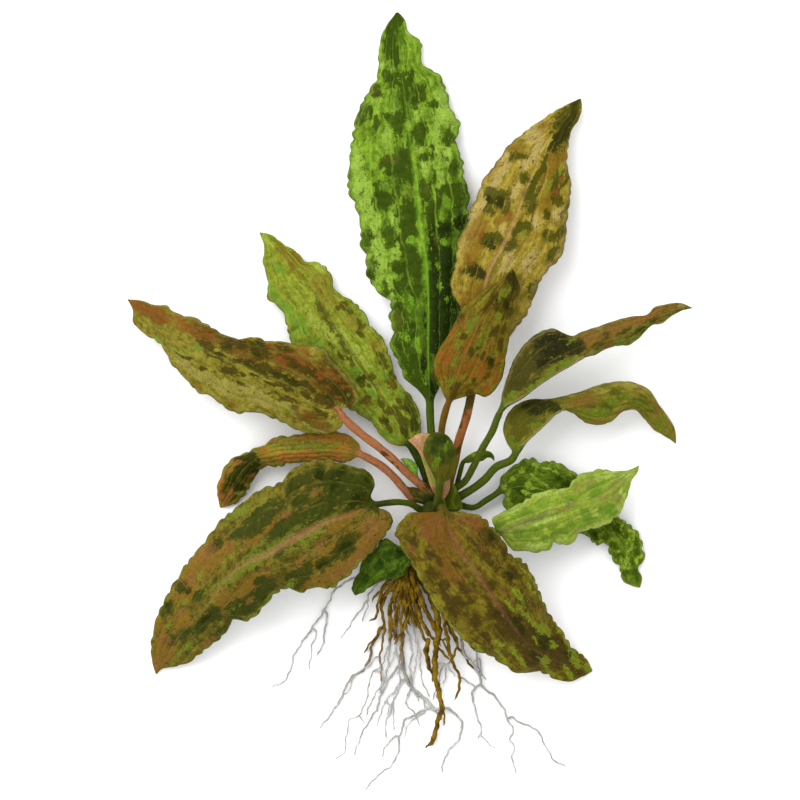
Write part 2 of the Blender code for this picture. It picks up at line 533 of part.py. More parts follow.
# Roots, each a line down its middle as x, y, z, with its radius at the rootstock and at its tip.
ROOTS = {
    "root_outer_left": (0.7, 0.3, GOLD, [
        (-16.6, -28.2, 3), (-17.7, -32.7, 2.4), (-16.8, -36, 2), (-16.8, -39.6, 1.7), (-17.1, -42, 1.4),
        (-18, -47.1, 1), (-17.6, -51, 0.7), (-17.6, -54.6, 0.5),
    ]),
    "root_outer_left_fork": (0.5, 0.3, GOLD, [
        (-17.8, -38.4, 0.8), (-18.6, -40.2, 0.7), (-20.4, -43.8, 0.6), (-21.3, -48, 0.5),
        (-23.1, -51, 0.5), (-25.5, -52.4, 0.5), (-28.2, -55.5, 0.5), (-29.1, -58.5, 0.4),
        (-32.1, -63.3, 0.4), (-36.3, -68.7, 0.35),
    ]),
    "root_left_hook": (0.6, 0.35, GOLD, [
        (-16.5, -25.2, 5.4), (-17.6, -27.6, 4.6), (-18.4, -30.3, 4), (-18.9, -33.6, 3.2),
        (-19.5, -35.4, 2.6), (-21.3, -36.6, 2),
    ]),
    "root_left_short": (0.55, 0.35, GOLD, [
        (-14.7, -30.8, 2.4), (-15, -33, 3.2), (-14.5, -36, 3.6), (-14.7, -39.3, 3), (-14.8, -42.9, 2.2),
    ]),
    "root_middle": (0.8, 0.35, GOLD, [
        (-10.3, -31.5, 4), (-9.3, -33.6, 3.6), (-10.2, -36, 3.2), (-11.1, -39.3, 2.8),
        (-11.4, -43.8, 2.2), (-11.4, -48.3, 1.6), (-10.2, -53.4, 1.2), (-8.1, -56.7, 1),
        (-4.2, -59.7, 0.9), (-2.1, -62.4, 0.8), (2.4, -62.7, 0.7), (5.1, -64.5, 0.6), (6.6, -67.6, 0.5),
        (5.4, -72, 0.5), (2.1, -75.9, 0.4), (0.3, -81.9, 0.4),
    ]),
    "root_middle_fork": (0.5, 0.3, PALE, [
        (-12.4, -49.8, 0.9), (-14.7, -52.9, 0.7), (-17.7, -58.5, 0.5), (-19.2, -63, 0.5),
        (-22.3, -68, 0.4), (-24, -71.4, 0.4), (-25.8, -76.8, 0.35),
    ]),
    "root_inner": (0.6, 0.35, GOLD, [
        (-6.8, -30.3, 4.2), (-6.6, -33.6, 3.8), (-6.7, -36, 3.6), (-5.5, -39.6, 3.2), (-3.9, -42.9, 2.8),
        (-3.6, -47.7, 2), (-3, -51, 1.2),
    ]),
    "root_thick": (1.1, 0.7, GOLD, [
        (-3.9, -26.7, 4.6), (-1.8, -31.8, 5.2), (-0.3, -39.3, 4.8), (-1.2, -43.8, 4.2),
        (-1.5, -48.3, 3.2), (-1.2, -54, 2.2), (0, -59.1, 3), (0.4, -63.9, 2.8), (-0.9, -66.6, 2),
        (-1.2, -69.3, 1.4), (-2.4, -72.3, 1), (-4.2, -74.4, 0.7),
    ]),
    "root_right": (0.75, 0.4, GOLD, [
        (-3, -23.4, 6), (0, -30, 6.2), (1.8, -39.3, 5.2), (2.7, -43.8, 4.4), (3.3, -47.1, 3.6),
        (4.8, -50.7, 2.6), (6, -54, 1.6), (5.1, -58.2, 2.4), (4.5, -60, 2),
    ]),
    "root_right_short": (0.5, 0.35, GOLD, [
        (-0.9, -21.9, 7.4), (2.1, -30, 7.6), (3.6, -38.7, 7), (5.1, -42.3, 6.2), (4.5, -45.9, 5.6),
        (2.4, -48.9, 5),
    ]),
    "root_far_right": (0.8, 0.35, GOLD, [
        (-0.3, -16.8, 5), (3.6, -27, 4.8), (6.6, -37.5, 3.6), (7.2, -45.9, 2.4), (9, -48.3, 2),
        (11.4, -51.6, 1.4), (12, -55.2, 0.9), (9.6, -57.6, 0.7), (10.5, -62.1, 0.5), (10.8, -64.5, 0.5),
        (12.3, -67.8, 0.4), (11.4, -72, 0.35),
    ]),
    "root_far_right_fork": (0.5, 0.3, PALE, [
        (13.2, -56.4, 0.9), (16.2, -58.8, 0.7), (18.6, -61.8, 0.6), (20.2, -65.7, 0.5),
        (21.9, -69.6, 0.5), (21, -72, 0.4), (22.2, -74.1, 0.4), (21.6, -77.7, 0.4), (23.1, -82.2, 0.35),
    ]),
    "root_right_runner": (0.4, 0.3, PALE, [
        (21.3, -65.1, 0.5), (24.1, -66.9, 0.5), (28.8, -68.8, 0.5), (30.6, -71.7, 0.4),
        (32.4, -75.3, 0.4), (34.2, -78, 0.35), (37.8, -80.1, 0.35),
    ]),
    "root_far_left": (0.6, 0.3, PALE, [
        (-13.5, -18.1, 4), (-18.9, -20.4, 3.2), (-25.8, -23.4, 2.2), (-31.2, -26.7, 1.4),
        (-34.2, -32.2, 0.9), (-40.2, -41.1, 0.6), (-43.8, -46.8, 0.5), (-44.4, -49.2, 0.5),
        (-46.2, -53.7, 0.4), (-50.7, -56.4, 0.35),
    ]),
    "root_far_left_fork": (0.45, 0.3, PALE, [
        (-34, -33.9, 0.5), (-34.4, -37.5, 0.5), (-34.8, -41.1, 0.5), (-35.7, -44.7, 0.4),
        (-36.9, -46.8, 0.35),
    ]),
    "root_small_left": (0.5, 0.3, PALE, [
        (-16.5, -23.4, 6.4), (-18.6, -25.2, 5.4), (-21, -27.6, 3.6), (-22.1, -33, 1.6),
        (-23.4, -36.6, 0.8),
    ]),
    "root_low_left": (0.5, 0.3, PALE, [
        (-3.9, -62.4, 0.5), (-7.2, -64.3, 0.5), (-10.2, -65.7, 0.5), (-11.7, -69.3, 0.5),
        (-13.5, -78, 0.4), (-14.7, -79.5, 0.4), (-20.1, -84, 0.35), (-22.5, -87.3, 0.35),
    ]),
    "root_low_fork": (0.4, 0.3, PALE, [
        (-12.9, -70.8, 0.4), (-15.6, -72.9, 0.4), (-17.7, -77.7, 0.35),
    ]),
    "root_short_fork": (0.45, 0.3, PALE, [
        (-11.4, -54.1, 0.5), (-13.5, -57, 0.5), (-15.9, -60, 0.4), (-14.7, -62.7, 0.4),
        (-16.5, -67.6, 0.4), (-15.9, -71.7, 0.35),
    ]),
}


def smooth_curve(points, at):
    """The smooth curve through the points, read where at says, from 0 at its start to 1 at its end."""
    points = np.asarray(points, float)
    steps = np.linalg.norm(np.diff(points, axis=0), axis=1)
    knots = np.concatenate([[0.0], np.cumsum(steps)])
    slopes = np.diff(points, axis=0) / steps[:, None]
    tangents = np.empty_like(points)
    tangents[0] = slopes[0]
    tangents[-1] = slopes[-1]
    before = steps[:-1, None]
    after = steps[1:, None]
    tangents[1:-1] = (slopes[:-1] * after + slopes[1:] * before) / (before + after)
    where = np.clip(np.asarray(at, float), 0.0, 1.0) * knots[-1]
    i = np.clip(np.searchsorted(knots, where, side="right") - 1, 0, len(steps) - 1)
    span = steps[i][:, None]
    t = ((where - knots[i]) / steps[i])[:, None]
    return (
        points[i] * (2 * t**3 - 3 * t**2 + 1)
        + points[i + 1] * (3 * t**2 - 2 * t**3)
        + tangents[i] * span * (t**3 - 2 * t**2 + t)
        + tangents[i + 1] * span * (t**3 - t**2)
    )


def unit(vectors):
    return vectors / np.linalg.norm(vectors, axis=-1, keepdims=True)


def blade_rings(leaf, stations, columns):
    """Rings of points round the blade: along its upper face from left to right, and back below."""
    along = TIP_AT * np.linspace(0.0, 1.0, stations)
    across = np.linspace(-1.0, 1.0, columns)
    rib = smooth_curve(leaf["rib"], along)
    sheet = np.empty((stations, columns, 3))
    for side, edge, drop in ((-1, leaf["left"], leaf["left_drop"]), (1, leaf["right"], leaf["right_drop"])):
        rim = smooth_curve(edge, along)
        fall = np.interp(along, np.linspace(0.0, 1.0, len(drop)), drop)
        for column in np.flatnonzero(across * side >= 0):
            share = abs(across[column])
            sheet[:, column, :2] = rib[:, :2] + share * (rim - rib[:, :2])
            sheet[:, column, 2] = rib[:, 2] + fall * share**DROP_POWER
    thick = leaf["stalk_radius"] * (RIB_TO_STALK + (1 - RIB_TO_STALK) * np.exp(-18 * along))
    half = BLADE_RIM + (thick[:, None] - BLADE_RIM) * (1 - np.abs(across)) ** 1.5
    half *= np.clip((1.05 - along) / 0.3, 0.5, 1.0)[:, None]
    sheet[:, :, 2] = np.maximum(sheet[:, :, 2], SURFACE + half)
    normals = unit(np.cross(np.gradient(sheet, axis=1), np.gradient(sheet, axis=0)))
    upper = sheet + normals * half[:, :, None]
    lower = sheet - normals * half[:, :, None]
    rings = np.concatenate([upper, lower[:, ::-1]], axis=1)
    rings[:, :, 2] = np.maximum(rings[:, :, 2], SURFACE)
    return rings


def stalk_rings(leaf, stations, columns):
    """Round rings down the leafstalk, with their points in the same order as the blade's."""
    line = leaf["stalk"] + leaf["rib"][:1]
    centres = smooth_curve(line, np.linspace(0.0, 1.0, stations + 1))
    ahead = unit(np.gradient(centres, axis=0))
    first = unit(np.array([*leaf["right"][0], 0.0]) - np.array([*leaf["left"][0], 0.0]))
    flat = np.cross(ahead, (0.0, 0.0, 1.0))
    flat = unit(flat + 1e-6)
    turn = np.linspace(0.0, 1.0, stations + 1)[:, None] ** 2
    side = unit(flat * (1 - turn) + first * turn)
    side = unit(side - ahead * np.sum(side * ahead, axis=1, keepdims=True))
    up = np.cross(side, ahead)
    across = STALK_ROUND * np.linspace(-1.0, 1.0, columns)
    over = np.sqrt(1 - across**2)
    spread = np.concatenate([across, across[::-1]])
    height = np.concatenate([over, -over[::-1]])
    radius = leaf["stalk_radius"]
    rings = (
        centres[:, None]
        + radius * side[:, None] * spread[None, :, None]
        + radius * up[:, None] * height[None, :, None]
    )
    rings[:, :, 2] = np.maximum(rings[:, :, 2], SURFACE)
    return rings[:-1]


def material(name, colour, roughness):
    made = bpy.data.materials.new(name)
    made.use_nodes = True
    shader = made.node_tree.nodes["Principled BSDF"]
    shader.inputs["Base Color"].default_value = (*colour, 1.0)
    shader.inputs["Roughness"].default_value = roughness
    shader.inputs["Metallic"].default_value = 0.0
    return made


def loft(name, rings, colour, roughness):
    """One closed solid through the rings, with its two ends capped."""
    bm = bmesh.new()
    loops = [[bm.verts.new(point * MM) for point in ring] for ring in rings]
    for near, far in zip(loops, loops[1:]):
        for i, corner in enumerate(near):
            j = (i + 1) % len(near)
            bm.faces.new((corner, near[j], far[j], far[i]))
    bm.faces.new(loops[0][::-1])
    bm.faces.new(loops[-1])
    bmesh.ops.recalc_face_normals(bm, faces=bm.faces)
    mesh = bpy.data.meshes.new(name)
    bm.to_mesh(mesh)
    bm.free()
    mesh.shade_smooth()
    mesh.set_sharp_from_angle(angle=math.radians(50))
    mesh.materials.append(material(name, colour, roughness))
    made = bpy.data.objects.new(name, mesh)
    bpy.context.scene.collection.objects.link(made)
    return made


def rootstock():
    """The short knobbly rhizome, flat where it rests, with a low ridge at each old leaf scar."""
    turn = np.linspace(0.0, 2 * math.pi, ROOTSTOCK_SIDES, endpoint=False)
    stations = np.array(ROOTSTOCK)
    ahead = unit(np.gradient(stations[:, :2], axis=0))
    rings = []
    for number, (x, y, middle, half_width, half_height) in enumerate(ROOTSTOCK):
        side = np.array([ahead[number, 1], -ahead[number, 0]])
        bump = 1 + SCAR_RELIEF / half_width * np.cos(SCAR_WAVES * turn + SCAR_SHIFT * number)
        out = half_width * np.cos(turn) * bump
        rise = half_height * np.sin(turn) * bump
        ring = np.column_stack([x + side[0] * out, y + side[1] * out, middle + rise])
        ring[:, 2] = np.maximum(ring[:, 2], SURFACE)
        rings.append(ring)
    loft("rootstock", rings, ROOTSTOCK_BROWN, ROOT_ROUGHNESS)


def root(name, start_radius, tip_radius, colour, route):
    """One root as a tapering tube with filled ends, never below the surface it lies on."""
    length = np.linalg.norm(np.diff(np.array(route), axis=0), axis=1).sum()
    count = max(5, round(length / ROOT_POINT_SPACING) + 1)
    at = np.linspace(0.0, 1.0, count)
    centres = smooth_curve(route, at)
    radii = start_radius + (tip_radius - start_radius) * at**0.7
    centres[:, 2] = np.maximum(centres[:, 2], SURFACE + radii)
    line = bpy.data.curves.new(name, "CURVE")
    line.dimensions = "3D"
    line.bevel_depth = MM
    line.bevel_resolution = ROOT_SIDES_RESOLUTION
    line.use_fill_caps = True
    spline = line.splines.new("POLY")
    spline.points.add(count - 1)
    for point, centre, radius in zip(spline.points, centres, radii):
        point.co = (*(centre * MM), 1.0)
        point.radius = radius
    line.materials.append(material(name, colour, ROOT_ROUGHNESS))
    bpy.context.scene.collection.objects.link(bpy.data.objects.new(name, line))


for old in list(bpy.data.objects):
    bpy.data.objects.remove(old)

rootstock()
for name, leaf in LEAVES.items():
    stalk = stalk_rings(leaf, STALK_STATIONS, LEAF_COLUMNS)
    blade = blade_rings(leaf, leaf["stations"], LEAF_COLUMNS)
    loft(name, np.concatenate([stalk, blade]), leaf["colour"], LEAF_ROUGHNESS)
for name, (start_radius, tip_radius, colour, route) in ROOTS.items():
    root(name, start_radius, tip_radius, colour, route)
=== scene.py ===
"""The look of a bare-rooted water trumpet plant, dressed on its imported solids.

It is lifted from its tank and lies on a level surface, with its shoot along +Y and its roots along -Y.
The camera looks straight down on it. Sizes are millimetres up to MM, which turns them into metres.
"""

import math

import bpy
import numpy as np
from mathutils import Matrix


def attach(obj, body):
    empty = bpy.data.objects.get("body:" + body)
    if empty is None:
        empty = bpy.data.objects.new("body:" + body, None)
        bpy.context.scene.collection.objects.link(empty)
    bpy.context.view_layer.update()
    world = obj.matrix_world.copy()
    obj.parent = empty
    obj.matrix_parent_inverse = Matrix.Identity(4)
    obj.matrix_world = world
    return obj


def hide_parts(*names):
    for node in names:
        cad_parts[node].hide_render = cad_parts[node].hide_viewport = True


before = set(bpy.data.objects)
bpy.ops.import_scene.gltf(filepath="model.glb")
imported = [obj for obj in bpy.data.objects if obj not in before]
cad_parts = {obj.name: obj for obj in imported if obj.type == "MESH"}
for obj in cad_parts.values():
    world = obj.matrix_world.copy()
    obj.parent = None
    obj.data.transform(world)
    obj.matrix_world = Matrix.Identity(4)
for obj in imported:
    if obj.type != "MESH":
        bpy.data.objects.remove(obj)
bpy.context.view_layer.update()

# Rootstock
# The short knobbly rhizome that the leaves and roots grow from: brown, fibrous and ringed with the
# scars of old leaves. It is one skin round the solid's own rings, and it stands for that solid.
MM = 0.001
ROOTSTOCK = [  # x, y, height of its middle, half width, half height
    (-11.6, -30.6, 3.0, 0.8, 0.8), (-11.0, -28.6, 3.4, 1.9, 2.0), (-10.3, -25.4, 4.0, 3.8, 4.0),
    (-8.8, -21.0, 4.2, 4.5, 4.6), (-7.2, -16.6, 4.4, 5.0, 5.0), (-5.4, -12.4, 4.3, 4.6, 4.7),
    (-3.4, -8.4, 4.5, 5.0, 5.0), (-1.6, -4.6, 4.4, 4.7, 4.8), (-0.4, -1.2, 4.3, 4.6, 4.7),
    (0.3, 1.6, 3.8, 3.8, 4.0), (0.6, 3.4, 4.6, 2.4, 2.6),
]
ROOTSTOCK_RINGS = 150
ROOTSTOCK_SIDES = 72
SCAR_SPACING = 1.9
SCAR_HEIGHT = 0.22
KNOB_HEIGHT = 0.35


def linear(colour):
    """A colour written as #rrggbb, turned into the linear red, green, blue and alpha of a shader."""
    values = np.array([int(colour[i : i + 2], 16) for i in (1, 3, 5)]) / 255
    values = np.where(values <= 0.04045, values / 12.92, ((values + 0.055) / 1.055) ** 2.4)
    return (*values.tolist(), 1.0)


def unit(vectors):
    """The vectors, each divided by its length."""
    return vectors / np.maximum(np.linalg.norm(vectors, axis=-1, keepdims=True), 1e-9)


def smooth_curve(points, at):
    """The smooth curve through the points, read where at says, from 0 at its start to 1 at its end.

    Between two points it is the cubic whose slope at each is the mean of the slopes beside it.
    """
    points = np.asarray(points, float)
    steps = np.linalg.norm(np.diff(points, axis=0), axis=1)
    knots = np.concatenate([[0.0], np.cumsum(steps)])
    slopes = np.diff(points, axis=0) / steps[:, None]
    before = steps[:-1, None]
    after = steps[1:, None]
    inner = (slopes[:-1] * after + slopes[1:] * before) / (before + after)
    tangents = np.concatenate([slopes[:1], inner, slopes[-1:]])
    where = np.clip(np.asarray(at, float), 0.0, 1.0) * knots[-1]
    i = np.clip(np.searchsorted(knots, where, side="right") - 1, 0, len(steps) - 1)
    span = steps[i][:, None]
    t = ((where - knots[i]) / steps[i])[:, None]
    return (
        points[i] * (2 * t**3 - 3 * t**2 + 1)
        + points[i + 1] * (3 * t**2 - 2 * t**3)
        + tangents[i] * span * (t**3 - 2 * t**2 + t)
        + tangents[i + 1] * span * (t**3 - t**2)
    )


def frame_along(line):
    """For each point of a line, unit vectors ahead along it, level to its side, and over it."""
    ahead = unit(np.gradient(line, axis=0))
    side = unit(np.cross(ahead, (0.0, 0.0, 1.0)))
    return ahead, side, np.cross(side, ahead)


def round_angles(sides):
    """This many angles shared out over a full turn, in one row."""
    return np.linspace(0.0, 2 * math.pi, sides, endpoint=False)[None]


def lifted(rings, lowest):
    """The rings with no point below the lowest height."""
    rings[:, :, 2] = np.maximum(rings[:, :, 2], lowest)
    return rings


def closed_skin(rings):
    """Points, four-sided faces and three-sided faces of a skin through rings of points.

    Two rings in a row are joined by a band of four-sided faces, and each end by a fan of three-sided
    ones to one more point at its middle.
    """
    count, sides = rings.shape[:2]
    ends = np.stack([rings[0].mean(axis=0), rings[-1].mean(axis=0)])
    here = np.arange(sides)
    following = (here + 1) % sides
    row = np.arange(count - 1)[:, None] * sides
    corners = [row + here, row + following, row + following + sides, row + here + sides]
    bands = np.stack(corners, axis=-1).reshape(-1, 4)
    first = np.full(sides, count * sides)
    last = (count - 1) * sides
    fans = [(following, here, first), (last + here, last + following, first + 1)]
    fans = np.concatenate([np.stack(fan, axis=-1) for fan in fans])
    return np.concatenate([rings.reshape(-1, 3), ends]), bands, fans


def with_ends(numbers):
    """The numbers of all rings in one row, and after them the mean of the first and the last ring."""
    return np.concatenate([numbers.ravel(), [numbers[0].mean(), numbers[-1].mean()]])


def new_piece(name, skins, values):
    """One object of one or more closed skins in millimetres, facing out.

    values holds, under each attribute's name, one number for each point of all skins.
    """
    faces = []
    start = 0
    for points, bands, fans in skins:
        a, b, c = points[np.concatenate([bands[:, :3], fans])].transpose(1, 0, 2)
        facing = -1 if np.sum(a * np.cross(b, c)) < 0 else 1
        faces += (start + bands[:, ::facing]).tolist() + (start + fans[:, ::facing]).tolist()
        start += len(points)
    mesh = bpy.data.meshes.new(name)
    mesh.from_pydata((np.concatenate([skin[0] for skin in skins]) * MM).tolist(), [], faces)
    for label, numbers in values.items():
        layer = mesh.attributes.new(label, "FLOAT", "POINT")
        layer.data.foreach_set("value", np.asarray(numbers, np.float32))
    mesh.shade_smooth()
    mesh.update()
    piece = bpy.data.objects.new(name, mesh)
    bpy.context.scene.collection.objects.link(piece)
    return piece


def dress(piece, material, slot, *nodes):
    """Gives the piece its material and its place on the one body, and hides the solids it stands for.

    The slot is not used.
    """
    piece.data.materials.append(material)
    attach(piece, "root")
    if nodes:
        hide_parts(*nodes)


def give(tree, node, inputs):
    """Links each input of the node to a socket, or gives it a value."""
    for socket, value in inputs.items():
        if isinstance(value, bpy.types.NodeSocket):
            tree.links.new(value, node.inputs[socket])
        else:
            node.inputs[socket].default_value = value


def add(tree, kind, inputs, **settings):
    """A new shader node with its settings and inputs."""
    made = tree.nodes.new(kind)
    for setting, value in settings.items():
        setattr(made, setting, value)
    give(tree, made, inputs)
    return made


def calc(tree, operation, *values):
    """The result of a Math node on the values."""
    return add(tree, "ShaderNodeMath", dict(enumerate(values)), operation=operation).outputs[0]


def ramp(tree, value, low, high, floor=0.0, ceiling=1.0):
    """The value carried smoothly from low and high to floor and ceiling."""
    levels = {"Value": value, "From Min": low, "From Max": high, "To Min": floor, "To Max": ceiling}
    return add(tree, "ShaderNodeMapRange", levels, interpolation_type="SMOOTHSTEP").outputs[0]


def over(tree, share, below, above):
    """The colour above laid over the colour below, as strongly as share says."""
    return add(tree, "ShaderNodeMix", {0: share, 6: below, 7: above}, data_type="RGBA").outputs[2]


def noise(tree, place, scale, detail, seed):
    """A cloud of soft noise from 0 to 1, seeded by its fourth coordinate."""
    levels = {"Vector": place, "Scale": scale, "Detail": detail, "W": seed, "Roughness": 0.6}
    return add(tree, "ShaderNodeTexNoise", levels, noise_dimensions="4D").outputs[0]


def group(name, inputs, outputs):
    """The tree of a new shader node group, and its input and output sockets by their names.

    All carry a number, but for the socket Place, which carries a point on the plant.
    """
    tree = bpy.data.node_groups.new(name, "ShaderNodeTree")
    for label in inputs:
        kind = "NodeSocketVector" if label == "Place" else "NodeSocketFloat"
        tree.interface.new_socket(label, in_out="INPUT", socket_type=kind)
    for label in outputs:
        tree.interface.new_socket(label, in_out="OUTPUT", socket_type="NodeSocketFloat")
    return tree, tree.nodes.new("NodeGroupInput").outputs, tree.nodes.new("NodeGroupOutput").inputs


# Grain: fine speckle and broader clouds over any part of the plant, by its place on the plant.
GRAIN, asked, given = group("plant grain", ["Place", "Fine", "Broad", "Seed"], ["Speckle", "Clouds"])
GRAIN.links.new(noise(GRAIN, asked["Place"], asked["Fine"], 3.0, asked["Seed"]), given["Speckle"])
GRAIN.links.new(noise(GRAIN, asked["Place"], asked["Broad"], 2.0, asked["Seed"]), given["Clouds"])


def new_material(name):
    """An empty material with its tree, its Principled node and its Object coordinates."""
    made = bpy.data.materials.new(name)
    made.use_nodes = True
    tree = made.node_tree
    shader = tree.nodes["Principled BSDF"]
    place = add(tree, "ShaderNodeTexCoord", {}).outputs["Object"]
    return made, tree, shader, place


def attribute(tree, name):
    """The number that the mesh holds under this name."""
    return add(tree, "ShaderNodeAttribute", {}, attribute_name=name).outputs["Fac"]


def place_group(tree, shared, inputs):
    """One use of a shared node group with its own values, and the outputs that it gives."""
    return add(tree, "ShaderNodeGroup", inputs, node_tree=shared).outputs


def lay_skin(tree, shader, colour, roughness, shine, height, strength, depth):
    """Ends a material: its colour, its roughness and shine, and a bump of this depth in millimetres."""
    bump = {"Height": height, "Strength": strength, "Distance": depth * MM}
    normal = add(tree, "ShaderNodeBump", bump).outputs[0]
    give(tree, shader, {"Base Color": colour, "Roughness": roughness})
    give(tree, shader, {"Specular IOR Level": shine, "Normal": normal})


def grained(tree, place, fine, broad, seed):
    """The plant's grain with this many speckles and clouds to a metre: its Speckle and its Clouds."""
    return place_group(tree, GRAIN, {"Place": place, "Fine": fine, "Broad": broad, "Seed": seed})


CROWN_GREEN = "#243006"
ROOT_GREEN_REACH = (0.009, 0.015)
ROOT_SPECKLE_PER_M = 2600.0
CLOUDS_PER_M = 420.0
ROOT_SHINE = 0.08


def distance_to_crown(tree, place):
    """How far a point is from the crown, in metres."""
    return add(tree, "ShaderNodeVectorMath", {0: place}, operation="LENGTH").outputs["Value"]


def root_finish(name, old, young, grain_height, seed):
    """A root's or rhizome's skin: brown where its gold value is 1, pale where it is 0.

    At the crown it is green, fully up to the first distance of ROOT_GREEN_REACH and not at all beyond
    the second.
    """
    made, tree, shader, place = new_material(name)
    grain = grained(tree, place, ROOT_SPECKLE_PER_M, CLOUDS_PER_M, seed)
    ragged = calc(tree, "MULTIPLY_ADD", grain["Clouds"], 0.5, -0.25)
    aged = ramp(tree, calc(tree, "ADD", attribute(tree, "gold"), ragged), 0.15, 0.85)
    clouds = ramp(tree, grain["Clouds"], 0.35, 0.65)
    brown = over(tree, clouds, linear(old[0]), linear(old[1]))
    pale = over(tree, clouds, linear(young[0]), linear(young[1]))
    skin = over(tree, aged, pale, brown)
    near_crown = ramp(tree, distance_to_crown(tree, place), *ROOT_GREEN_REACH, 0.9, 0.0)
    skin = over(tree, near_crown, skin, linear(CROWN_GREEN))
    value = ramp(tree, grain["Speckle"], 0.3, 0.7, 0.72, 1.25)
    skin = add(tree, "ShaderNodeHueSaturation", {"Value": value, "Color": skin}).outputs[0]
    roughness = ramp(tree, grain["Speckle"], 0.3, 0.7, 0.55, 0.85)
    lay_skin(tree, shader, skin, roughness, ROOT_SHINE, grain["Speckle"], 0.6, grain_height)
    return made


SCAR_SHARPNESS = 0.012


def rootstock_rings():
    """Rings of points round the rhizome.

    Each ring is an ellipse with knobs, a sum of three low waves round and along it, and with the
    raised edge of a leaf scar, a thin ridge that comes back every SCAR_SPACING along it. It is cut
    off flat by the surface.
    """
    at = np.linspace(0.0, 1.0, ROOTSTOCK_RINGS)
    spine = smooth_curve([row[:3] for row in ROOTSTOCK], at)
    given_at = np.linspace(0.0, 1.0, len(ROOTSTOCK))
    half_width = np.interp(at, given_at, [row[3] for row in ROOTSTOCK])
    half_height = np.interp(at, given_at, [row[4] for row in ROOTSTOCK])
    turn = round_angles(ROOTSTOCK_SIDES)
    along = np.linalg.norm(np.gradient(spine, axis=0), axis=1).cumsum()[:, None]
    knobs = np.sin(3 * turn + 1.1 * along) + np.sin(5 * turn - 0.8 * along + 1)
    knobs = knobs + np.sin(2 * turn + 2.3 * along)
    from_scar = (along + 0.5 * np.sin(2 * turn)) / SCAR_SPACING % 1.0 - 0.5
    out = KNOB_HEIGHT / 2 * knobs + SCAR_HEIGHT * np.exp(-(from_scar**2) / SCAR_SHARPNESS)
    side = frame_along(spine)[1]
    wide = (half_width[:, None] + out) * np.cos(turn)
    high = (half_height[:, None] + out) * np.sin(turn)
    rings = spine[:, None] + side[:, None] * wide[:, :, None]
    rings[:, :, 2] += high
    return lifted(rings, 0.0)


skin = closed_skin(rootstock_rings())
rootstock = new_piece("rootstock_skin", [skin], {"gold": np.ones(len(skin[0]))})
RHIZOME_BROWN = ("#3c2d05", "#62490e")
RHIZOME_GREY = ("#6f6a53", "#88836e")
RHIZOME_GRAIN_HEIGHT = 0.5
rhizome_skin = root_finish("rhizome skin", RHIZOME_BROWN, RHIZOME_GREY, RHIZOME_GRAIN_HEIGHT, 1.0)
dress(rootstock, rhizome_skin, "rootstock", "rootstock")

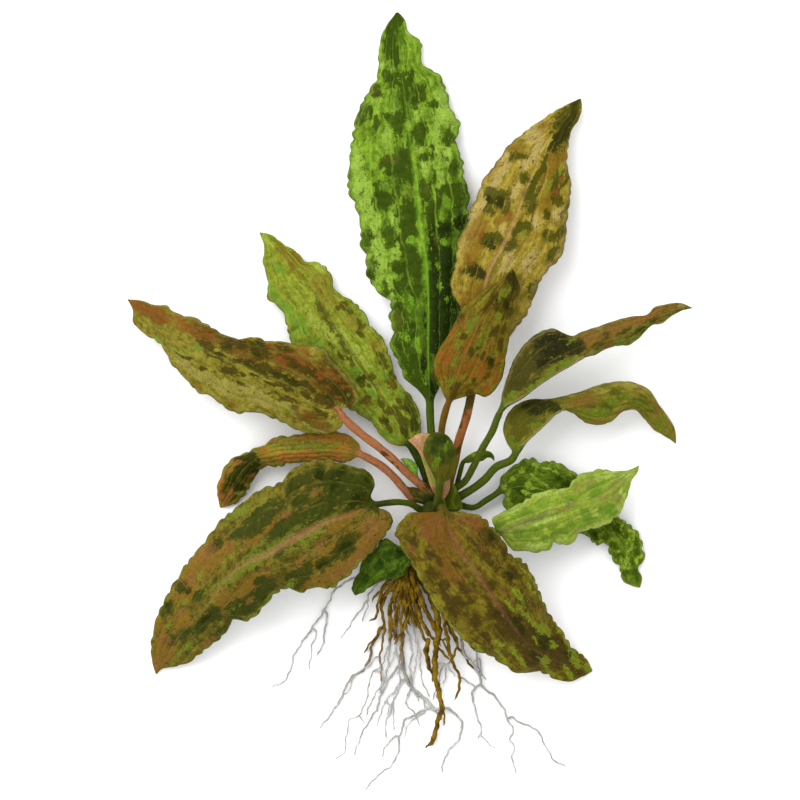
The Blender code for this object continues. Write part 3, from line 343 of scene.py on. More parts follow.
# Roots that have turned gold-brown
# Each main root is a thin, slightly knotty tube that tapers from the rhizome to its tip. It is
# gold-brown near the crown, and some turn pale and thin further out. Each stands for its own solid.
ROOT_SIDES = 12
ROOT_RING_SPACING = 0.4
ROOT_KNOTS = 0.1
ROOT_WANDER = 0.16
GOLD_ROOTS = {  # start radius, tip radius, gold at the start, gold at the tip, route
    "root_outer_left": (0.7, 0.22, 1, 0.6, [(-13, -25.7, 4.6), (-16.6, -28.2, 3), (-17.7, -32.7, 2.4),
        (-16.8, -36, 2), (-16.8, -39.6, 1.7), (-17.1, -42, 1.4), (-18, -47.1, 1), (-17.6, -51, 0.7),
        (-17.6, -54.6, 0.5)]),
    "root_outer_left_fork": (0.5, 0.22, 0.9, 0, [(-16.8, -38.5, 1.8), (-17.8, -38.4, 0.8),
        (-18.6, -40.2, 0.7), (-20.4, -43.8, 0.6), (-21.3, -48, 0.5), (-23.1, -51, 0.5), (-25.5, -52.4, 0.5),
        (-28.2, -55.5, 0.5), (-29.1, -58.5, 0.4), (-32.1, -63.3, 0.4), (-36.3, -68.7, 0.35)]),
    "root_left_hook": (0.6, 0.35, 1, 0.8, [(-12.2, -21.9, 4.6), (-16.5, -25.2, 5.4), (-17.6, -27.6, 4.6),
        (-18.4, -30.3, 4), (-18.9, -33.6, 3.2), (-19.5, -35.4, 2.6), (-21.3, -36.6, 2)]),
    "root_left_short": (0.55, 0.35, 1, 0.9, [(-12.2, -27.1, 4.6), (-14.7, -30.8, 2.4), (-15, -33, 3.2),
        (-14.5, -36, 3.6), (-14.7, -39.3, 3), (-14.8, -42.9, 2.2)]),
    "root_middle": (0.8, 0.26, 1.1, -0.5, [(-10.5, -27.1, 4.6), (-10.3, -31.5, 4), (-9.3, -33.6, 3.6),
        (-10.2, -36, 3.2), (-11.1, -39.3, 2.8), (-11.4, -43.8, 2.2), (-11.4, -48.3, 1.6),
        (-10.2, -53.4, 1.2), (-8.1, -56.7, 1), (-4.2, -59.7, 0.9), (-2.1, -62.4, 0.8), (2.4, -62.7, 0.7),
        (5.1, -64.5, 0.6), (6.6, -67.6, 0.5), (5.4, -72, 0.5), (2.1, -75.9, 0.4), (0.3, -81.9, 0.4)]),
    "root_inner": (0.6, 0.35, 1, 0.8, [(-8.7, -25.1, 4.6), (-6.8, -30.3, 4.2), (-6.6, -33.6, 3.8),
        (-6.7, -36, 3.6), (-5.5, -39.6, 3.2), (-3.9, -42.9, 2.8), (-3.6, -47.7, 2), (-3, -51, 1.2)]),
    "root_thick": (1.1, 0.7, 1, 1, [(-7.1, -21.9, 4.6), (-3.9, -26.7, 4.6), (-1.8, -31.8, 5.2),
        (-0.3, -39.3, 4.8), (-1.2, -43.8, 4.2), (-1.5, -48.3, 3.2), (-1.2, -54, 2.2), (0, -59.1, 3),
        (0.4, -63.9, 2.8), (-0.9, -66.6, 2), (-1.2, -69.3, 1.4), (-2.4, -72.3, 1), (-4.2, -74.4, 0.7)]),
    "root_right": (0.75, 0.4, 1, 0.8, [(-5.9, -17.5, 4.6), (-3, -23.4, 6), (0, -30, 6.2), (1.8, -39.3, 5.2),
        (2.7, -43.8, 4.4), (3.3, -47.1, 3.6), (4.8, -50.7, 2.6), (6, -54, 1.6), (5.1, -58.2, 2.4),
        (4.5, -60, 2)]),
    "root_right_short": (0.5, 0.35, 1, 0.8, [(-5, -17.5, 4.6), (-0.9, -21.9, 7.4), (2.1, -30, 7.6),
        (3.6, -38.7, 7), (5.1, -42.3, 6.2), (4.5, -45.9, 5.6), (2.4, -48.9, 5)]),
    "root_far_right": (0.8, 0.26, 1.2, -0.4, [(-0.3, -16.8, 5), (3.6, -27, 4.8), (6.6, -37.5, 3.6),
        (7.2, -45.9, 2.4), (9, -48.3, 2), (11.4, -51.6, 1.4), (12, -55.2, 0.9), (9.6, -57.6, 0.7),
        (10.5, -62.1, 0.5), (10.8, -64.5, 0.5), (12.3, -67.8, 0.4), (11.4, -72, 0.35)]),
}


def root_rings(route, start_radius, tip_radius, sides, spacing, knotty, seed):
    """Rings round a smooth curve through the route.

    The radius falls from the start to the tip as the 0.7th power of the way, with knots that make it
    wax and wane and a rounded start, and the curve wanders a little to both sides. Nothing sinks
    below the surface.
    """
    chance = np.random.default_rng(seed)
    length = np.linalg.norm(np.diff(np.array(route), axis=0), axis=1).sum()
    at = np.linspace(0.0, 1.0, max(6, round(length / spacing) + 1))
    line = smooth_curve(route, at)
    shift = chance.uniform(0, 2 * math.pi, 6)
    way = at * length
    radius = start_radius + (tip_radius - start_radius) * at**0.7
    knots = np.sin(way * 1.9 + shift[0]) + np.sin(way * 0.83 + shift[1]) + np.sin(way * 3.7 + shift[2])
    radius = radius * (1 + knotty / 1.6 * knots)
    radius = radius * np.clip((1.0 - at) * length / (3 * tip_radius), 0.35, 1.0)
    radius = radius * np.sqrt(1 - np.clip(1 - way / (1.6 * start_radius), 0, 0.95) ** 2)
    _, side, over_top = frame_along(line)
    sway = np.sin(way * 1.1 + shift[3]) + 0.6 * np.sin(way * 2.3 + shift[4])
    line = line + side * (ROOT_WANDER * sway * np.clip(way / 4, 0, 1))[:, None]
    line[:, 2] = np.maximum(line[:, 2], radius)
    turn = round_angles(sides)[:, :, None]
    around = side[:, None] * np.cos(turn) + over_top[:, None] * np.sin(turn)
    return line[:, None] + radius[:, None, None] * around


ROOT_GOLD = ("#493502", "#775d0a")
ROOT_PALE = ("#8e8e8b", "#b2b1ac")
ROOT_GRAIN_HEIGHT = 0.18
root_skin = root_finish("root skin", ROOT_GOLD, ROOT_PALE, ROOT_GRAIN_HEIGHT, 2.0)


def main_roots(roots, slot, knotty, first_seed):
    """One piece for each root of a table, each standing for its own solid."""
    for seed, (name, row) in enumerate(roots.items(), first_seed):
        start_radius, tip_radius, gold_start, gold_tip, route = row
        rings = root_rings(route, start_radius, tip_radius, ROOT_SIDES, ROOT_RING_SPACING, knotty, seed)
        gold = np.linspace(gold_start, gold_tip, len(rings))[:, None] + np.zeros(ROOT_SIDES)
        piece = new_piece(name + "_skin", [closed_skin(rings)], {"gold": with_ends(gold)})
        dress(piece, root_skin, slot, name)


main_roots(GOLD_ROOTS, "gold_root", ROOT_KNOTS, first_seed=0)

# Young pale roots
# The same tubes, thinner and greyish white, which run out from under the gold ones over the surface.
# Each stands for its own solid.
PALE_KNOTS = 0.07
PALE_ROOTS = {
    "root_middle_fork": (0.4, 0.21, 0.4, 0, [(-11.2, -49.3, 1.5), (-12.4, -49.8, 0.9), (-14.7, -52.9, 0.7),
        (-17.7, -58.5, 0.5), (-19.2, -63, 0.5), (-22.3, -68, 0.4), (-24, -71.4, 0.4), (-25.8, -76.8, 0.35)]),
    "root_far_right_fork": (0.4, 0.21, 0.2, 0, [(12, -55.2, 0.9), (13.2, -56.4, 0.9), (16.2, -58.8, 0.7),
        (18.6, -61.8, 0.6), (20.2, -65.7, 0.5), (21.9, -69.6, 0.5), (21, -72, 0.4), (22.2, -74.1, 0.4),
        (21.6, -77.7, 0.4), (23.1, -82.2, 0.35)]),
    "root_right_runner": (0.32, 0.21, 0.15, 0, [(20.2, -65.7, 0.5), (21.3, -65.1, 0.5), (24.1, -66.9, 0.5),
        (28.8, -68.8, 0.5), (30.6, -71.7, 0.4), (32.4, -75.3, 0.4), (34.2, -78, 0.35), (37.8, -80.1, 0.35)]),
    "root_far_left": (0.48, 0.21, 0.2, 0, [(-10.1, -15.6, 4.6), (-13.5, -18.1, 4), (-18.9, -20.4, 3.2),
        (-25.8, -23.4, 2.2), (-31.2, -26.7, 1.4), (-34.2, -32.2, 0.9), (-40.2, -41.1, 0.6),
        (-43.8, -46.8, 0.5), (-44.4, -49.2, 0.5), (-46.2, -53.7, 0.4), (-50.7, -56.4, 0.35)]),
    "root_far_left_fork": (0.36, 0.21, 0.15, 0, [(-34.8, -33.1, 0.9), (-34, -33.9, 0.5),
        (-34.4, -37.5, 0.5), (-34.8, -41.1, 0.5), (-35.7, -44.7, 0.4), (-36.9, -46.8, 0.35)]),
    "root_small_left": (0.4, 0.21, 0.5, 0, [(-12.2, -20.9, 4.6), (-16.5, -23.4, 6.4), (-18.6, -25.2, 5.4),
        (-21, -27.6, 3.6), (-22.1, -33, 1.6), (-23.4, -36.6, 0.8)]),
    "root_low_left": (0.4, 0.21, 0.15, 0, [(-2.7, -61.6, 0.8), (-3.9, -62.4, 0.5), (-7.2, -64.3, 0.5),
        (-10.2, -65.7, 0.5), (-11.7, -69.3, 0.5), (-13.5, -78, 0.4), (-14.7, -79.5, 0.4),
        (-20.1, -84, 0.35), (-22.5, -87.3, 0.35)]),
    "root_low_fork": (0.32, 0.21, 0.15, 0, [(-12.1, -71, 0.5), (-12.9, -70.8, 0.4), (-15.6, -72.9, 0.4),
        (-17.7, -77.7, 0.35)]),
    "root_short_fork": (0.36, 0.21, 0.15, 0, [(-10.2, -53.4, 1.2), (-11.4, -54.1, 0.5), (-13.5, -57, 0.5),
        (-15.9, -60, 0.4), (-14.7, -62.7, 0.4), (-16.5, -67.6, 0.4), (-15.9, -71.7, 0.35)]),
}
main_roots(PALE_ROOTS, "pale_root", PALE_KNOTS, first_seed=40)

# Side rootlets
# Fine branches and root hairs too thin to be solids of their own. Each starts on a main root or on
# the rhizome and lies over the surface, and all of them together are one piece.
ROOTLET_FIRST_SEED = 80
ROOTLET_SIDES = 8
ROOTLET_RING_SPACING = 0.45
ROOTLETS = [  # start radius, tip radius, gold at the start, gold at the tip, route
    (0.75, 0.5, 1, 1, [(-8.8, -17.5, 4.6), (-10.2, -22.2, 9), (-9, -27, 8.26), (-7.2, -31.8, 6.5),
        (-5.4, -36.6, 5.75), (-3.3, -40.8, 5)]),
    (0.8, 0.5, 1, 1, [(-8.2, -17.5, 4.6), (-8.7, -22.2, 9.08), (-6.6, -27.6, 7), (-4.2, -33, 6),
        (-1.8, -37.8, 5), (0.3, -42, 4)]),
    (0.65, 0.45, 1, 1, [(-9.9, -20.9, 4.6), (-10.8, -23.4, 9.01), (-9.6, -28.8, 7.39), (-8.4, -33.6, 5.33),
        (-7.2, -38.4, 4)]),
    (0.6, 0.4, 1, 1, [(-10.4, -20.3, 4.6), (-12, -22.8, 8.36), (-11.7, -27, 8.44), (-12.6, -31.2, 5.5),
        (-13.5, -35.4, 4.25), (-14.4, -39.6, 3)]),
    (0.55, 0.4, 1, 1, [(-9.5, -21.5, 4.6), (-9.9, -24, 9.19), (-10.5, -28.8, 7.61), (-9.9, -33.6, 4.67),
        (-9, -37.8, 3)]),
    (0.6, 0.4, 1, 0.9, [(-10.6, -19.7, 4.6), (-12.6, -22.2, 8), (-13.8, -27, 7.37), (-13.5, -31.8, 5),
        (-12.9, -36, 3.5), (-13.8, -42, 2)]),
    (0.55, 0.35, 1, 1, [(-9.1, -17.5, 4.6), (-11.1, -22.2, 8.7), (-12.6, -26.4, 8.36), (-13.8, -29.4, 6),
        (-15.6, -31.8, 5)]),
    (0.5, 0.35, 1, 1, [(-9.3, -21.9, 4.6), (-9.3, -25.2, 9.15), (-11.1, -28.2, 7), (-12.3, -31.2, 6),
        (-12, -34.8, 5)]),
    (0.5, 0.35, 1, 1, [(-10.6, -21.5, 4.6), (-12.6, -24, 8.33), (-15, -25.2, 6.09), (-17.1, -26.7, 5.25),
        (-18.9, -28.2, 4.88), (-20.4, -30.6, 4.5)]),
    (0.55, 0.4, 1, 1, [(-10.1, -20.9, 4.6), (-11.4, -23.4, 8.82), (-13.8, -24.6, 7.5), (-15.6, -27, 4.75),
        (-16.8, -30, 3.88), (-17.7, -32.7, 3)]),
    (0.6, 0.4, 1, 0.9, [(-9.9, -21.9, 4.6), (-10.8, -24.6, 9.15), (-12.9, -27, 7.99), (-14.4, -30, 4.8),
        (-15.3, -33.6, 3.7), (-15, -37.8, 2.6), (-14.7, -42.3, 1.5)]),
    (0.6, 0.35, 1, 0.8, [(-9.4, -21.9, 4.6), (-9.6, -26.4, 8.73), (-10.8, -30, 6.38), (-11.4, -33.6, 5),
        (-11.7, -36.6, 4), (-11.4, -41.4, 3), (-11.7, -45.6, 2), (-11.7, -48.6, 1)]),
    (0.55, 0.4, 1, 0.9, [(-8.9, -21.9, 4.6), (-8.4, -26.4, 8.34), (-8.7, -30.6, 6.3), (-9.6, -35.4, 5.1),
        (-11.1, -39, 3.9), (-12.6, -41.4, 2.7), (-13.8, -43.2, 1.5)]),
    (0.65, 0.4, 1, 1, [(-8.6, -21.9, 4.6), (-7.5, -26.4, 7.8), (-7.5, -30.6, 6.03), (-7.2, -34.8, 4.27),
        (-6, -39.6, 2.5)]),
    (0.75, 0.5, 1, 1, [(-8.1, -21.9, 4.6), (-6.3, -27.6, 8), (-4.8, -31.8, 6.75), (-3, -35.4, 5.5),
        (-1.2, -39.6, 4.25), (0.3, -43.8, 3)]),
    (0.5, 0.35, 1, 1, [(-9, -27.1, 4.6), (-6.6, -33, 7), (-4.8, -37.2, 5.67), (-3, -40.2, 4.33),
        (-1.2, -42.3, 3)]),
    (0.75, 0.5, 1, 0.9, [(-4.2, -42.2, 2.9), (-3.6, -42, 4), (-4.2, -45, 3.17), (-3.9, -48, 2.33),
        (-2.7, -51.9, 1.5)]),
    (0.45, 0.35, 1, 1, [(-1, -42.9, 4.3), (-1.2, -42.6, 3.5), (0, -45, 3), (1.5, -46.5, 2.5), (3.3, -48, 2)]),
    (0.5, 0.35, 1, 0.9, [(-1.8, -31.8, 5.2), (-0.6, -31.5, 3), (2.4, -37.5, 2.6), (5.7, -44.4, 2.2),
        (7.5, -47.1, 1.8), (9, -49.2, 1.4), (10.5, -51, 1)]),
    (0.5, 0.4, 1, 1, [(1.6, -38.4, 5.3), (1.8, -38.4, 6), (2.1, -42, 5), (3, -45.6, 4)]),
    (0.45, 0.3, 1, 1, [(-10.9, -21.9, 4.6), (-13.2, -25.2, 8.36), (-15.6, -27.6, 5.75), (-17.1, -29.4, 5)]),
    (0.5, 0.35, 1, 1, [(-9.6, -25.1, 4.6), (-9, -28.8, 7.4), (-9.9, -31.8, 6.45), (-10.5, -35.4, 5.5)]),
    (0.55, 0.35, 1, 1, [(-8.2, -25.1, 4.6), (-5.4, -28.8, 7.6), (-6, -32.4, 6.3), (-5.4, -36, 5)]),
    (0.4, 0.25, 0.1, 0, [(-11.5, -27.1, 4.6), (-12.9, -33.6, 1.4), (-13.2, -39, 1.22), (-13.8, -46.5, 1.04),
        (-15.6, -50.4, 0.86), (-17.7, -57, 0.68), (-18.9, -63.6, 0.5)]),
    (0.4, 0.25, 0.1, 0, [(-10.7, -27.1, 4.6), (-10.8, -32.4, 1.4), (-9.9, -38.4, 1.22), (-8.4, -45, 1.04),
        (-9, -50.4, 0.86), (-8.1, -57, 0.68), (-6, -60.6, 0.5)]),
    (0.4, 0.25, 0.1, 0, [(-9.8, -27.1, 4.6), (-8.7, -33.6, 1.6), (-7.8, -39.6, 1.38), (-6.9, -46.5, 1.16),
        (-7.8, -51.6, 0.94), (-9, -57, 0.72), (-10.8, -61.5, 0.5)]),
    (0.35, 0.2, 0, 0, [(-5.2, -40.3, 3.1), (-6.6, -40.8, 1.6), (-6, -46.5, 1.33), (-5.7, -52.5, 1.05),
        (-4.5, -56.4, 0.78), (-3, -59.1, 0.5)]),
    (0.35, 0.2, 0, 0, [(-12.4, -27.1, 4.6), (-15, -36.6, 1.2), (-15.6, -43.5, 1.02), (-16.8, -48, 0.85),
        (-18.3, -50.4, 0.68), (-20.4, -51.6, 0.5)]),
    (0.35, 0.2, 0, 0, [(-11.3, -42, 2.4), (-11.4, -42, 1), (-10.8, -48.6, 0.88), (-9.6, -54, 0.75),
        (-7.2, -58.2, 0.62), (-3.6, -60.6, 0.5)]),
    (0.3, 0.2, 0, 0, [(-1.4, -49.4, 3), (1.2, -49.2, 1.6), (0, -52.2, 1.23), (-0.6, -55.2, 0.87),
        (-2.4, -60, 0.5)]),
    (0.3, 0.2, 0, 0, [(4, -48.9, 3.1), (2.1, -49.2, 1.6), (1.8, -52.2, 1.1), (0.9, -55.2, 0.6)]),
    (0.3, 0.2, 0, 0, [(4, -48.9, 3.1), (2.4, -49.2, 1.6), (3.6, -51.6, 1.1), (4.5, -53.1, 0.6)]),
    (0.3, 0.2, 0, 0, [(5.9, -53.7, 1.7), (6.3, -53.4, 1.4), (9, -55.2, 1.05), (11.1, -56.4, 0.7)]),
    (0.3, 0.2, 0, 0, [(10.8, -45, 0.8), (11.4, -49.2, 0.65), (12, -54, 0.5)]),
    (0.35, 0.2, 0, 0, [(-14.7, -39.3, 3), (-14.1, -39, 1), (-13.2, -45, 0.88), (-12.3, -50.4, 0.76),
        (-12.6, -57, 0.64), (-14.7, -61.5, 0.52), (-16.2, -64.8, 0.4)]),
    (0.35, 0.2, 0, 0, [(-14.7, -40.7, 2.7), (-15, -40.5, 1), (-15.3, -46.5, 0.85), (-16.8, -54, 0.7),
        (-20.4, -60, 0.55), (-22.2, -64.8, 0.4)]),
    (0.4, 0.25, 1, 0.9, [(-16.8, -37.4, 1.8), (-18.6, -40.2, 1.37), (-21, -43.2, 0.93), (-22.9, -45.9, 0.5)]),
    (0.35, 0.25, 0.9, 0.7, [(-11.1, -39.8, 2.7), (-11.4, -39.6, 1.2), (-12.3, -40.8, 0.85),
        (-13.2, -42.3, 0.5)]),
    (0.35, 0.25, 1, 0.8, [(-6.5, -36.7, 3.5), (-5.7, -36.6, 3.4), (-4.2, -38.4, 2.77), (-3, -40.8, 2.13),
        (-1.5, -42.3, 1.5)]),
    (0.45, 0.3, 1, 0.9, [(-1.4, -46.9, 3.5), (-0.9, -46.5, 2), (-2.1, -50.4, 1.3), (-2.4, -54.6, 0.6)]),
    (0.35, 0.25, 1, 0.8, [(-3.6, -46.5, 2), (-3, -49.2, 1.3), (-2.7, -51.6, 0.6)]),
    (0.4, 0.25, 1, 0.9, [(0.1, -62.5, 0.8), (0.3, -62.4, 1.5), (1.5, -65.4, 1), (0.9, -67.6, 0.5)]),
    (0.35, 0.25, 1, 0.8, [(2.2, -41.5, 4.8), (0.9, -42, 5.2), (2.1, -44.7, 4.2), (3.3, -47.4, 3.2)]),
    (0.25, 0.15, 0, 0, [(-38.4, -38.4, 0.7), (-37.5, -39, 0.5), (-38.4, -43.8, 0.45), (-39.3, -51.1, 0.4)]),
    (0.25, 0.15, 0, 0, [(-21.6, -30.3, 2.6), (-21.6, -30, 1.2), (-26.4, -36.6, 0.85), (-29.7, -41.7, 0.5)]),
    (0.3, 0.18, 0.1, 0, [(-18, -47.1, 1), (-18.9, -47.1, 0.8), (-21.3, -49.8, 0.72), (-25.5, -52.4, 0.64),
        (-27.3, -57, 0.56), (-29.5, -59.1, 0.48), (-32.1, -63.3, 0.4)]),
    (0.3, 0.18, 0.3, 0, [(-18, -48.9, 0.8), (-17.4, -52.8, 0.6), (-17.7, -56.7, 0.4)]),
    (0.3, 0.18, 0.1, 0, [(-17.6, -51.4, 0.7), (-19.2, -51.3, 0.8), (-22.1, -59.7, 0.73),
        (-24.3, -64.5, 0.67), (-27, -66, 0.6), (-27.9, -69.9, 0.53), (-29.7, -76.8, 0.47),
        (-31.5, -77.7, 0.4)]),
    (0.25, 0.15, 0, 0, [(-24.3, -64.5, 0.5), (-22.6, -67.3, 0.4)]),
    (0.3, 0.18, 0.2, 0, [(-10, -53.7, 1.2), (-10.5, -54, 0.8), (-12.9, -57.6, 0.7), (-14.1, -61.8, 0.6),
        (-13.8, -66, 0.5), (-14.1, -69.3, 0.4)]),
    (0.3, 0.18, 0.2, 0, [(-8.7, -56.1, 0.9), (-9.9, -61.5, 0.73), (-7.3, -64.5, 0.57), (-6, -68, 0.4)]),
    (0.25, 0.15, 0, 0, [(-4.6, -59.4, 0.9), (-4.8, -60, 0.5), (-4.8, -63.6, 0.47), (-9, -66.6, 0.43),
        (-10.8, -71.4, 0.4)]),
    (0.3, 0.18, 0.1, 0, [(-2.5, -61.9, 0.8), (-3, -62.4, 0.8), (-1.2, -63.6, 0.6), (0, -65.7, 0.4)]),
    (0.25, 0.15, 0, 0, [(12, -70.5, 0.5), (16.5, -74.7, 0.4)]),
    (0.25, 0.15, 0, 0, [(9.7, -49.3, 1.8), (11.7, -47.4, 0.6), (12.3, -51.3, 0.5), (13.8, -54, 0.4)]),
    (0.25, 0.15, 0, 0, [(-16.2, -60, 0.5), (-17.7, -63.6, 0.45), (-18.9, -68.1, 0.4)]),
]
skins = []
golds = []
for seed, rootlet in enumerate(ROOTLETS, ROOTLET_FIRST_SEED):
    start_radius, tip_radius, gold_start, gold_tip, route = rootlet
    knotty = ROOT_KNOTS if gold_start > 0.5 else PALE_KNOTS
    rings = root_rings(route, start_radius, tip_radius, ROOTLET_SIDES, ROOTLET_RING_SPACING, knotty, seed)
    skins.append(closed_skin(rings))
    gold = np.linspace(gold_start, gold_tip, len(rings))[:, None] + np.zeros(ROOTLET_SIDES)
    golds.append(with_ends(gold))
rootlets = new_piece("side_rootlets", skins, {"gold": np.concatenate(golds)})
dress(rootlets, root_skin, "pale_root")

# Tall leaf
# The longest leaf, straight up from the crown: bright green with dark olive bands between its side
# veins. Along and right of its midrib, lower down, it is darker with painted shade. Blade and
# leafstalk grew as one, thin and soft, with a wavy rim.
LEAF_DROP_POWER = 1.6
RIM_HALF_THICK = 0.15
RIB_TO_STALK = 0.42
GROOVE_DEPTH = 0.14
GROOVE_HALF_WIDTH = 0.35
TIP_AT = 0.996
MEAN_LOBE = 0.64
OFF_THE_SURFACE = 0.02
JOINT_PASSES = 6


def waves(way, length, shift):
    """A restless wave along the way: a sine of this length and a weaker, shorter one, within -1 and 1."""
    long = np.sin(2 * math.pi * way / length + shift)
    short = np.sin(2 * math.pi * way / (0.57 * length) + 2 * shift)
    return (long + 0.6 * short) / 1.6


def blade_rings(leaf, seed):
    """Rings round the blade, along its upper face from left rim to right rim and back below.

    Across a ring, a point lies its share of the way from midrib to rim, and its height changes from
    the midrib's by the drop, below 0 where the rim hangs lower, times that share to the power
    LEAF_DROP_POWER. On top come the ruffle, a wave along the rim that grows with the cube of the share,
    the lobes of the rim's outline, a rectified sine, and the puffs between side veins, the product of
    two rectified sines. The blade is thin at its rim and thickens below into the midrib. Both rims end
    where the midrib does, at the leaf's tip.
    """
    chance = np.random.default_rng(seed)
    along = TIP_AT * np.linspace(0.0, 1.0, leaf["stations"])[:, None]
    spaced = np.linspace(-1.0, 1.0, leaf["columns"])
    across = 0.8 * spaced + 0.2 * np.sin(math.pi / 2 * spaced)
    share = np.abs(across)[None]
    rib = smooth_curve(leaf["rib"], along[:, 0])
    length = np.linalg.norm(np.diff(rib, axis=0), axis=1).sum()
    way = along * length
    ends = np.clip(5 * along, 0, 1) * np.clip(6 * (1 - along), 0, 1)
    sheet = np.empty((leaf["stations"], leaf["columns"], 3))
    half_width = np.empty((leaf["stations"], leaf["columns"]))
    for side, edge, drop in ((-1, "left", "left_drop"), (1, "right", "right_drop")):
        columns = np.flatnonzero(across * side >= 0)
        shift = chance.uniform(0, 2 * math.pi, 2)
        rim = smooth_curve([*leaf[edge], leaf["rib"][-1][:2]], along[:, 0])
        out = rim - rib[:, :2]
        width = np.linalg.norm(out, axis=1)
        lobe_phase = math.pi * way / leaf["nick_length"] + shift[0] + waves(way, 13.0, shift[1])
        lobes = np.abs(np.sin(lobe_phase)) - MEAN_LOBE
        nicks = leaf["nick"] * lobes * (1 + 0.5 * waves(way, 17.0, shift[0])) * ends
        rim = rim + unit(out) * nicks
        fall = np.interp(along[:, 0], np.linspace(0.0, 1.0, len(leaf[drop])), leaf[drop])[:, None]
        here = share[:, columns]
        sheet[:, columns, :2] = rib[:, None, :2] + here[:, :, None] * (rim - rib[:, :2])[:, None]
        ruffle = leaf["ruffle"] * waves(way, leaf["ruffle_length"], shift[1]) * ends
        sheet[:, columns, 2] = rib[:, None, 2] + fall * here**LEAF_DROP_POWER + ruffle * here**3
        half_width[:, columns] = width[:, None]
    between = np.abs(np.sin(math.pi * leaf["veins"] * share)) ** 0.6
    phase = way / leaf["cell_length"] + 0.35 * np.floor(leaf["veins"] * share)
    phase = phase + 0.6 * waves(way, 19.0, 3 * across)
    cells = np.abs(np.sin(math.pi * phase)) ** 0.5
    puffs = between * cells * ends * np.clip(4 * share, 0, 1) * np.clip(6 * (1 - share), 0, 1)
    sheet[:, :, 2] += leaf["puff"] * puffs
    stalk = leaf["stalk_radius"] * (RIB_TO_STALK + (1 - RIB_TO_STALK) * np.exp(-18 * along))
    from_rib = share * half_width
    ridge = (stalk - RIM_HALF_THICK) * np.exp(-((from_rib / (1.1 * stalk)) ** 2))
    thin = RIM_HALF_THICK * np.sqrt(1 - share**10) * np.clip((1.04 - along) / 0.2, 0.3, 1.0)
    ridge *= np.clip((1.02 - along) / 0.4, 0.0, 1.0)
    above = thin + ridge * (0.3 + 0.7 * np.exp(-25 * along))
    groove = GROOVE_DEPTH * np.exp(-((from_rib / GROOVE_HALF_WIDTH) ** 2))
    above = above - groove * np.clip(8 * along, 0, 1) * ends
    below = thin + ridge
    sheet[:, :, 2] = np.maximum(sheet[:, :, 2], below)
    normals = unit(np.cross(np.gradient(sheet, axis=1), np.gradient(sheet, axis=0)))
    upper = sheet + normals * above[:, :, None]
    lower = sheet - normals * below[:, :, None]
    rings = np.concatenate([upper, lower[:, -2:0:-1]], axis=1)
    ring_across = np.concatenate([across, across[-2:0:-1]])[None] + 0 * along
    under = np.concatenate([np.zeros(leaf["columns"]), np.ones(leaf["columns"] - 2)])
    under[[0, leaf["columns"] - 1]] = 0.5
    return lifted(rings, OFF_THE_SURFACE), ring_across, along + 0 * ring_across, under[None] + 0 * ring_across


STALK_RING_SPACING = 0.9


def stalk_rings(leaf):
    """Round rings down the leafstalk, with their points in the same order as the blade's.

    The side that the first point of a ring lies on turns, with the square of the way, from level to
    the blade's own left and right.
    """
    line = leaf["stalk"] + leaf["rib"][:1]
    length = np.linalg.norm(np.diff(np.array(line), axis=0), axis=1).sum()
    stations = max(4, round(length / STALK_RING_SPACING))
    at = np.linspace(0.0, 1.0, stations + 1)
    centres = smooth_curve(line, at)
    ahead = unit(np.gradient(centres, axis=0))
    first = unit(np.array([*leaf["right"][0], 0.0]) - np.array([*leaf["left"][0], 0.0]))
    flat = unit(np.cross(ahead, (0.0, 0.0, 1.0)) + 1e-6)
    turn = at[:, None] ** 2
    side = unit(flat * (1 - turn) + first * turn)
    side = unit(side - ahead * np.sum(side * ahead, axis=1, keepdims=True))
    up = np.cross(side, ahead)
    spaced = np.linspace(-1.0, 1.0, leaf["columns"])
    across = np.sin(math.pi / 2 * spaced)
    high = np.sqrt(np.maximum(1 - across**2, 0.0))
    spread = np.concatenate([across, across[-2:0:-1]])
    height = np.concatenate([high, -high[-2:0:-1]])
    radius = (leaf["stalk_radius"] * (1 + 0.03 * np.sin(at * length * 0.9)))[:, None, None]
    around = side[:, None] * spread[None, :, None] + up[:, None] * height[None, :, None]
    return lifted(centres[:, None] + radius * around, OFF_THE_SURFACE)[:-1]


MARK_STEP = 0.3


def spots(rings, marks, lie):
    """How strongly each ring point lies within the marks, from 0 to 1.

    A mark is x, y, half length and half width in steps of MARK_STEP, turned lie degrees from +X.
    The plane is warped first by crossed sines, so that no mark is a plain oval. A point's distance
    from a mark's middle, in half sizes, is d, and the mark gives it exp(-0.7 d^3).
    """
    if not marks:
        return np.zeros(rings.shape[:2])
    x, y, long, wide = MARK_STEP * np.array(marks).T
    turn = math.radians(lie)
    level = rings[:, :, 0]
    upright = rings[:, :, 1]
    warp_x = 0.35 * np.sin(0.9 * upright + 0.5 * level) + 0.2 * np.sin(2.3 * level - 1.7 * upright)
    warp_y = 0.35 * np.sin(0.8 * level - 0.6 * upright + 1.3) + 0.2 * np.sin(1.9 * level + 2.1 * upright)
    east = (level + warp_x)[:, :, None] - x
    north = (upright + warp_y)[:, :, None] - y
    ahead = (east * math.cos(turn) + north * math.sin(turn)) / long
    aside = (north * math.cos(turn) - east * math.sin(turn)) / wide
    return np.exp(-0.7 * (ahead**2 + aside**2) ** 1.5).max(axis=2)


